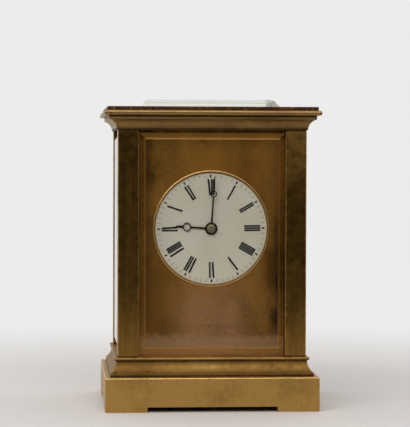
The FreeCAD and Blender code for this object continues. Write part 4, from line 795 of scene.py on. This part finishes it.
# %% Gilt bezel
bezel_low, bezel_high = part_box("dial_bezel")
OUTER = (bezel_high.z - bezel_low.z) / 2
BAND = 0.55 * MM
FLATTENED = 0.85
ring = add_primitive(bpy.ops.mesh.primitive_torus_add, major_radius=OUTER - BAND, minor_radius=BAND,
                     major_segments=144, minor_segments=20, location=(0, bezel_high.y, CENTRE.z),
                     rotation=FACING_FRONT)
bpy.ops.transform.resize(value=(1, FLATTENED, 1), center_override=(0, bezel_high.y, 0))
bpy.ops.mesh.bisect(plane_co=(0, bezel_high.y, 0), plane_no=(0, 1, 0), clear_outer=True)
bridge_openings()


def ring_inner_shade(x, y, z):
    """Painted shade along the ring's inner side."""
    return 1 - step_between(from_dial_middle(x, z), OUTER - 0.85 * MM, OUTER - 0.45 * MM)


gilt = brass("gilt_ring", clean=(240, 192, 130), tarnished=(204, 154, 92), cloud=0.10, grain=ANY_WAY,
             rough=0.48, grimed=ring_inner_shade)
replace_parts(finish_piece(ring, "bezel_ring", "case", gilt), "dial_bezel")

# %% [markdown]
# The hours are painted in tall black Roman numbers that stand radially, their feet towards the middle,
# with four strokes for the four. Strokes are of three kinds: an upright, the heavy leg of a V or an X,
# which leans, and its light leg, a hairline. Each number lists the places of its uprights and its legs
# across the radius, in millimetres.

# %% Hour numerals
THICK, BOLD, HAIR = 0.80 * MM, 0.88 * MM, 0.09 * MM
FOOT, HEAD = 15.4 * MM, 22.8 * MM
FIVE_HAIR_FOOT, FIVE_HAIR_HEAD, TEN_HAIR_LEAN = 0.15, 0.85, 0.6


def five(foot, head):
    """The two legs of a V."""
    return [(foot, head, BOLD), (foot + FIVE_HAIR_FOOT, foot + FIVE_HAIR_HEAD, HAIR)]


def ten(foot, head):
    """The two legs of an X."""
    middle = (foot + head) / 2
    return [(foot, head, BOLD), (middle - TEN_HAIR_LEAN, middle + TEN_HAIR_LEAN, HAIR)]


numerals = {
    1: ((0.05,), []),
    2: ((-0.5, 0.5), []),
    3: ((-0.99, 0, 0.99), []),
    4: ((-1.38, -0.46, 0.46, 1.38), []),
    5: ((), five(-0.08, -0.89)),
    6: ((0.76,), five(-0.57, -0.96)),
    7: ((0.55, 1.55), five(-0.74, -1.17)),
    8: ((0.22, 1.13, 2.04), five(-1.30, -1.59)),
    9: ((-0.7,), ten(0.75, 0.25)),
    10: ((), ten(0.53, -0.91)),
    11: ((0.8,), ten(-0.2, -0.73)),
    12: ((0.5, 1.38), ten(-0.27, -1.05)),
}
print("strokes in all:", sum(len(uprights) + len(legs) for uprights, legs in numerals.values()))

# %% [markdown]
# A stroke is a plane scaled to its width and length, with its outer edge slid sideways for a lean or
# widened for a wedge, and then subdivided so that it can follow the dome. Repeated strokes are copies of
# one pattern, turned about the dial's middle. The dial itself sits turned by a hair in its mask. A
# shrinkwrap will lay the print on the dome, and Solidify gives it the thickness of a coat of paint.

# %% Strokes
DIAL_TURN = -0.7
PRINT_START = CROWN - 2 * MM
PRINT_LIFT = 0.03 * MM
PRINT_COAT = PRINT_LIFT * 0.8
STROKE_CUTS = 4


def flat_bar(foot, head, low, high, width, tip_width, cuts):
    """Flat bar above the dial's middle, from a place at its foot to one at its head."""
    middle = CENTRE.z + (low + high) / 2
    bar = add_primitive(bpy.ops.mesh.primitive_plane_add, size=1, location=(foot, PRINT_START, middle),
                        rotation=FACING_FRONT)
    bpy.ops.transform.resize(value=(width, 1, high - low), center_override=(foot, 0, middle))
    pick(bar, "VERT", lambda place: place.z > middle)
    bpy.ops.transform.resize(value=(tip_width / width, 1, 1), center_override=(foot, 0, middle))
    bpy.ops.transform.translate(value=(head - foot, 0, 0))
    bpy.ops.mesh.select_all(action="SELECT")
    bpy.ops.mesh.subdivide(number_cuts=cuts)
    bpy.ops.object.mode_set(mode="OBJECT")
    return bar


def about_dial(degrees):
    """Clockwise turn about the dial's middle."""
    turned = Matrix.Rotation(math.radians(degrees), 4, "Y")
    return Matrix.Translation(CENTRE) @ turned @ Matrix.Translation(-CENTRE)


def laid_on_dial(piece):
    """Lay a flat print on the dial's dome and give it its thickness."""
    select_only(piece)
    wrap = piece.modifiers.new("on_dial", "SHRINKWRAP")
    wrap.target = dial
    wrap.wrap_method = "PROJECT"
    wrap.use_project_y = True
    wrap.use_positive_direction = True
    wrap.use_negative_direction = True
    wrap.offset = PRINT_LIFT
    bpy.ops.object.modifier_apply(modifier="on_dial")
    coat = piece.modifiers.new("coat", "SOLIDIFY")
    coat.thickness = PRINT_COAT
    coat.offset = -1
    bpy.ops.object.modifier_apply(modifier="coat")
    return piece


upright = flat_bar(0, 0, FOOT, HEAD, THICK, THICK, STROKE_CUTS)
strokes = []
for hour, (uprights, legs) in numerals.items():
    to_hour = about_dial(30 * hour + DIAL_TURN)
    for place in uprights:
        strokes.append(copied(upright, to_hour @ Matrix.Translation((place * MM, 0, 0))))
    for foot, head, width in legs:
        leg = flat_bar(foot * MM, head * MM, FOOT, HEAD, width, width, STROKE_CUTS)
        leg.data.transform(to_hour)
        strokes.append(leg)
bpy.data.objects.remove(upright)
print(len(strokes), "strokes for twelve hours")

# %% [markdown]
# Outside the hours stands a track of fine grey minute strokes, with a small dark wedge at each hour. They
# are the same bars, shorter, and narrowed towards the middle for the wedges. Fired paint wears thin in
# places, so a noise lets some of the white through.

# %% Minute track and the whole print
wedge = flat_bar(0, 0, 23.4 * MM, 24.75 * MM, width=0.42 * MM, tip_width=0.95 * MM, cuts=2)
tick = flat_bar(0, 0, 23.5 * MM, 24.9 * MM, width=0.20 * MM, tip_width=0.20 * MM, cuts=1)
wedges = [copied(wedge, about_dial(30 * hour + DIAL_TURN)) for hour in range(12)]
ticks = [copied(tick, about_dial(6 * minute + DIAL_TURN)) for minute in range(60) if minute % 5]
bpy.data.objects.remove(wedge)
bpy.data.objects.remove(tick)


def paint(name, dark, worn, amount):
    """Fired black or grey paint, a little broken by wear."""
    material, tree, shader = new_finish(name)
    wear = step_between(noise(place_on(tree), 520.0, 4.0), 0.60, 0.80)
    feed(shader, Base_Color=blend(wear * amount, light_values(*dark), light_values(*worn)),
         Roughness=0.35 + wear * 0.25)
    return material


black_paint = paint("black_paint", dark=(9, 9, 12), worn=(70, 66, 62), amount=0.3)
grey_paint = paint("grey_paint", dark=(96, 91, 86), worn=(168, 160, 150), amount=0.6)
hour_print = laid_on_dial(joined(strokes + wedges))
finish_piece(hour_print, "dial_hours", "case", black_paint)
minute_print = laid_on_dial(joined(ticks))
finish_piece(minute_print, "dial_minutes", "case", grey_paint)

# %% [markdown]
# The hands are filed from thin steel sheet: a round boss, a slim shaft, an open ring through which the
# numbers show, and a spear. Each of these is a primitive shaped in edit mode, the parts are welded by
# booleans, the ring's eye and the boss's hole are cut out, and a fine bevel breaks the edges. Booleans
# leave points that nearly meet, at which a bevel would stop, so the mesh is cleaned before it and once
# more after it. A hand is made upright and then turned to its place.

# %% Hands
HAND_SIDES = 48
SHAFT, RING_BAND, TIP = 0.75 * MM, 0.45 * MM, 0.36 * MM
BROKEN_EDGE = 0.06 * MM
MERGE_BEFORE, MERGE_AFTER = 0.03 * MM, 0.005 * MM


def sheet_disc(radius, up, sheet):
    """Disc of the hand's sheet, a distance above the dial's middle."""
    front, back = sheet
    disc = add_primitive(bpy.ops.mesh.primitive_cylinder_add, vertices=HAND_SIDES, radius=radius,
                         depth=back - front, location=(0, (front + back) / 2, CENTRE.z + up),
                         rotation=FACING_FRONT)
    bpy.ops.object.mode_set(mode="OBJECT")
    return disc


def sheet_blade(low, belly, high, widths, sheet):
    """Blade of the hand's sheet, with its widths at its foot, its belly and its tip."""
    front, back = sheet
    middle = Vector((0, (front + back) / 2, CENTRE.z + (low + belly) / 2))
    blade = add_primitive(bpy.ops.mesh.primitive_cube_add, size=1, location=middle)
    bpy.ops.transform.resize(value=(widths[0], back - front, belly - low), center_override=middle)
    pick(blade, "FACE", lambda place: place.z > middle.z + (belly - low) * 0.4)
    bpy.ops.transform.resize(value=(widths[1] / widths[0], 1, 1), center_override=middle)
    extrude(0, 0, high - belly)
    bpy.ops.transform.resize(value=(widths[2] / widths[1], 1, 1), center_override=middle)
    bpy.ops.object.mode_set(mode="OBJECT")
    return blade


def steel_hand(name, node, body, boss, bore, ring_at, ring_radius, length, spear, degrees):
    """One hand from its sizes in metres, put in a node's place."""
    low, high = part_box(node)
    sheet = (low.y, high.y)
    through = (low.y - 1 * MM, high.y + 1 * MM)
    ring_foot = ring_at - ring_radius + RING_BAND / 2
    ring_head = ring_at + ring_radius - RING_BAND / 2
    belly = ring_head + (length - ring_head) / 3
    hand = sheet_disc(ring_radius, ring_at, sheet)
    carve(hand, sheet_disc(ring_radius - RING_BAND, ring_at, through), "DIFFERENCE")
    carve(hand, sheet_blade(ring_head, belly, length, (SHAFT, spear, TIP), sheet), "UNION")
    carve(hand, sheet_blade(0, ring_foot / 2, ring_foot, (SHAFT * 1.2, SHAFT, SHAFT), sheet), "UNION")
    carve(hand, sheet_disc(boss, 0, sheet), "UNION")
    carve(hand, sheet_disc(bore, 0, through), "DIFFERENCE")
    cleaned(hand, MERGE_BEFORE)
    edge = hand.modifiers.new("broken_edge", "BEVEL")
    edge.width = BROKEN_EDGE
    edge.segments = 2
    edge.angle_limit = math.radians(50)
    bpy.ops.object.modifier_apply(modifier="broken_edge")
    cleaned(hand, MERGE_AFTER)
    hand.data.transform(about_dial(degrees))
    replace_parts(finish_piece(hand, name, body, dark_steel), node)


steel_hand("steel_hour_hand", "hour_hand", "hour_work", boss=2.9 * MM, bore=2.05 * MM,
           ring_at=11.2 * MM, ring_radius=1.95 * MM, length=16.4 * MM, spear=1.1 * MM, degrees=274.0)
steel_hand("steel_minute_hand", "minute_hand", "minute_work", boss=2.0 * MM, bore=1.3 * MM,
           ring_at=16.1 * MM, ring_radius=1.55 * MM, length=24.2 * MM, spear=0.9 * MM, degrees=3.7)

# %% [markdown]
# A collet holds the hands on their pipe: a small turned washer with a rounded shoulder and a sunk middle.
# A disc is extruded to its height, inset in steps that round its shoulder, and the middle is inset once
# more and pushed in.

# %% Hand collet
collet_low, collet_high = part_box("hand_collet")
WASHER = 1.9 * MM
RISE = collet_low.y - collet_high.y
SUNK = 0.12 * MM
collet = add_primitive(bpy.ops.mesh.primitive_circle_add, vertices=48, radius=WASHER, fill_type="NGON",
                       location=(0, collet_high.y, CENTRE.z), rotation=FACING_FRONT)
extrude(0, RISE * 0.6, 0)
for share in (0.12, 0.10, 0.08):
    bpy.ops.mesh.inset(thickness=WASHER * share, depth=0)
    bpy.ops.transform.translate(value=(0, RISE * share, 0))
bpy.ops.mesh.inset(thickness=WASHER * 0.22, depth=0)
extrude(0, SUNK, 0)
face_outwards()
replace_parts(finish_piece(collet, "hand_washer", "minute_work", collet_metal, 30),
            "hand_collet")

# %% [markdown]
# Clock screws are blued by heat and have a narrow slot. One head is turned from a cylinder with its edge
# bevelled, the shank is drawn out of the underside, and the slot is cut with a bar. The screw is then
# copied to each place, each slot turned its own way, because no two end up in line. Sizes are the head's
# radius and height and the shank's radius and length; like the places, they are in millimetres.

# %% Slotted screws
SLOT_START, SLOT_STEP = 0.7, 1.9
BAR_LENGTH, BAR_WIDTH, BAR_HEIGHT = 3, 0.26, 0.9
HEAD_EDGE = 0.16


def slotted_screw(radius, height, shank_radius, shank_length):
    """One screw at the origin with its head's underside on the floor plane and its slot across X."""
    screw = add_primitive(bpy.ops.mesh.primitive_cylinder_add, vertices=32, radius=radius, depth=height,
                          location=(0, 0, height / 2))
    pick(screw, "FACE", lambda place: place.z < height * 0.1)
    bpy.ops.mesh.inset(thickness=radius - shank_radius, depth=0)
    extrude(0, 0, -shank_length)
    pick(screw, "FACE", lambda place: place.z > height * 0.9)
    bpy.ops.mesh.bevel(offset=HEAD_EDGE * radius, segments=3, affect="EDGES")
    bpy.ops.object.mode_set(mode="OBJECT")
    bar = add_primitive(bpy.ops.mesh.primitive_cube_add, size=1, location=(0, 0, height))
    bpy.ops.transform.resize(value=(radius * BAR_LENGTH, radius * BAR_WIDTH, height * BAR_HEIGHT),
                             center_override=(0, 0, height))
    carve(screw, bar, "DIFFERENCE")
    return screw


def screw_set(name, node, sizes, places, axis):
    """All screws of a node: copies of one pattern with their heads along an axis, joined in one piece."""
    pattern = slotted_screw(*[size * MM for size in sizes])
    facing = Vector((0, 0, 1)).rotation_difference(Vector(axis)).to_matrix().to_4x4()
    copies = []
    for number, place in enumerate(places):
        spin = Matrix.Rotation(SLOT_START + SLOT_STEP * number, 4, "Z")
        copies.append(copied(pattern, Matrix.Translation(Vector(place) * MM) @ facing @ spin))
    bpy.data.objects.remove(pattern)
    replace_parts(finish_piece(joined(copies), name, "case", blued_steel, 30), node)


BACKWARDS, UPWARDS, DOWNWARDS = (0, 1, 0), (0, 0, 1), (0, 0, -1)
posts = [(x, 10.2, z) for x in (-25, 25) for z in (29.65, 107.0)]
click_places = [(-11.28, 12.15, 53.1), (-16.08, 12.1, 51.11)]
platform_places = [(x, y, 113.4) for x in (-13.8, 13.8) for y in (-20.8, 9.2)]
platform_places += [(0, 7.95, 116.3), (12.7, -12.8, 121.4)]
pillar_feet = [(x, y, 20.65) for x in (-38.45, 38.45) for y in (-32.45, 32.45)]
seats = [(x, -5.8, 20.65) for x in (-25, 25)]
screw_set("post_screw_heads", "movement_post_screws", (2.2, 0.9, 1.1, 6.0), posts, BACKWARDS)
screw_set("click_screw_heads", "click_screws", (1.5, 0.8, 0.9, 3.9), click_places, BACKWARDS)
screw_set("platform_screw_heads", "platform_screws", (1.4, 0.7, 0.8, 4.3), platform_places, UPWARDS)
screw_set("pillar_screw_heads", "pillar_screws_below", (2.6, 1.8, 1.5, 12.0), pillar_feet, DOWNWARDS)
screw_set("seat_screw_heads", "movement_seat_screws", (2.6, 1.8, 1.3, 8.4), seats, DOWNWARDS)

# %% [markdown]
# The clock stands on a pale sweep that fades into the white background: a wide disc whose finish goes
# from matt paper near the clock to nothing further out.

# %% Floor
FLOOR_RADIUS = 2.5
FADE_NEAR, FADE_FAR = 0.09, 0.46
PAPER_LIGHT, PAPER_DARK = (217, 212, 209), (212, 207, 204)
bpy.ops.object.select_all(action="DESELECT")
bpy.ops.mesh.primitive_circle_add(vertices=96, radius=FLOOR_RADIUS, fill_type="NGON", location=(0, 0, 0))
floor = bpy.context.object
floor.name = "floor"
paper, tree, shader = new_finish("pale_paper")
where = place_on(tree)
distance = Signal.node(tree, "ShaderNodeVectorMath", {"operation": "LENGTH"}, {0: where}, "Value")
fibre = noise(where, 240.0, 4.0)
feed(shader, Base_Color=blend(fibre, light_values(*PAPER_LIGHT), light_values(*PAPER_DARK)),
     Roughness=0.85)
see_through(tree, shader, 1 - step_between(distance, FADE_NEAR, FADE_FAR), light_values(*WHITE))
floor.data.materials.append(paper)
print("floor fades from", FADE_NEAR, "to", FADE_FAR, "m")

# %% [markdown]
# The room behind is white, soft light comes from above, and the side where the camera stands is dim,
# which is what gives plain brass faces their depth. What the camera sees of the room, and what polished
# metal shows of its far side, is a plain pale wall. One large soft lamp in front and above lights the
# dial.

# %% Room and lamp
DIM_LEVEL, ABOVE_LEVEL, BEHIND_LEVEL, WALL_LEVEL = 0.03, 0.42, 0.75, 0.84
ROOM_WHITE = (1.0, 0.998, 0.99, 1.0)
LAMP_PLACE = Vector((-0.30, -0.85, 0.80))
LAMP_SIZE = (1.6, 0.7)
LAMP_WATTS = 10.6

world = bpy.data.worlds.new("studio")
bpy.context.scene.world = world
world.use_nodes = True
tree = world.node_tree
_, y, z = parts_of(Signal.node(tree, "ShaderNodeTexCoord", {}, {}, "Generated"))
behind = step_between(y, -0.35, 0.45)
room = clamped(DIM_LEVEL + step_between(z, 0.12, 0.8) * ABOVE_LEVEL + behind * BEHIND_LEVEL)
to_camera, to_gloss, through_glass = [Signal.node(tree, "ShaderNodeLightPath", {}, {}, f"Is {kind} Ray")
                                      for kind in ("Camera", "Glossy", "Transmission")]
seen = clamped(to_camera + through_glass + to_gloss * behind)
feed(tree.nodes["Background"], Color=ROOM_WHITE, Strength=room * (1 - seen) + seen * WALL_LEVEL)

lamp_data = bpy.data.lights.new("overhead_softbox", "AREA")
lamp_data.shape = "RECTANGLE"
lamp_data.size, lamp_data.size_y = LAMP_SIZE
lamp_data.energy = LAMP_WATTS
lamp = bpy.data.objects.new("overhead_softbox", lamp_data)
bpy.context.collection.objects.link(lamp)
aim = (CENTRE - LAMP_PLACE).to_track_quat("-Z", "Y").to_matrix().to_4x4()
lamp.matrix_world = Matrix.Translation(LAMP_PLACE) @ aim
print("one lamp of", LAMP_WATTS, "W at", [round(v, 2) for v in LAMP_PLACE])
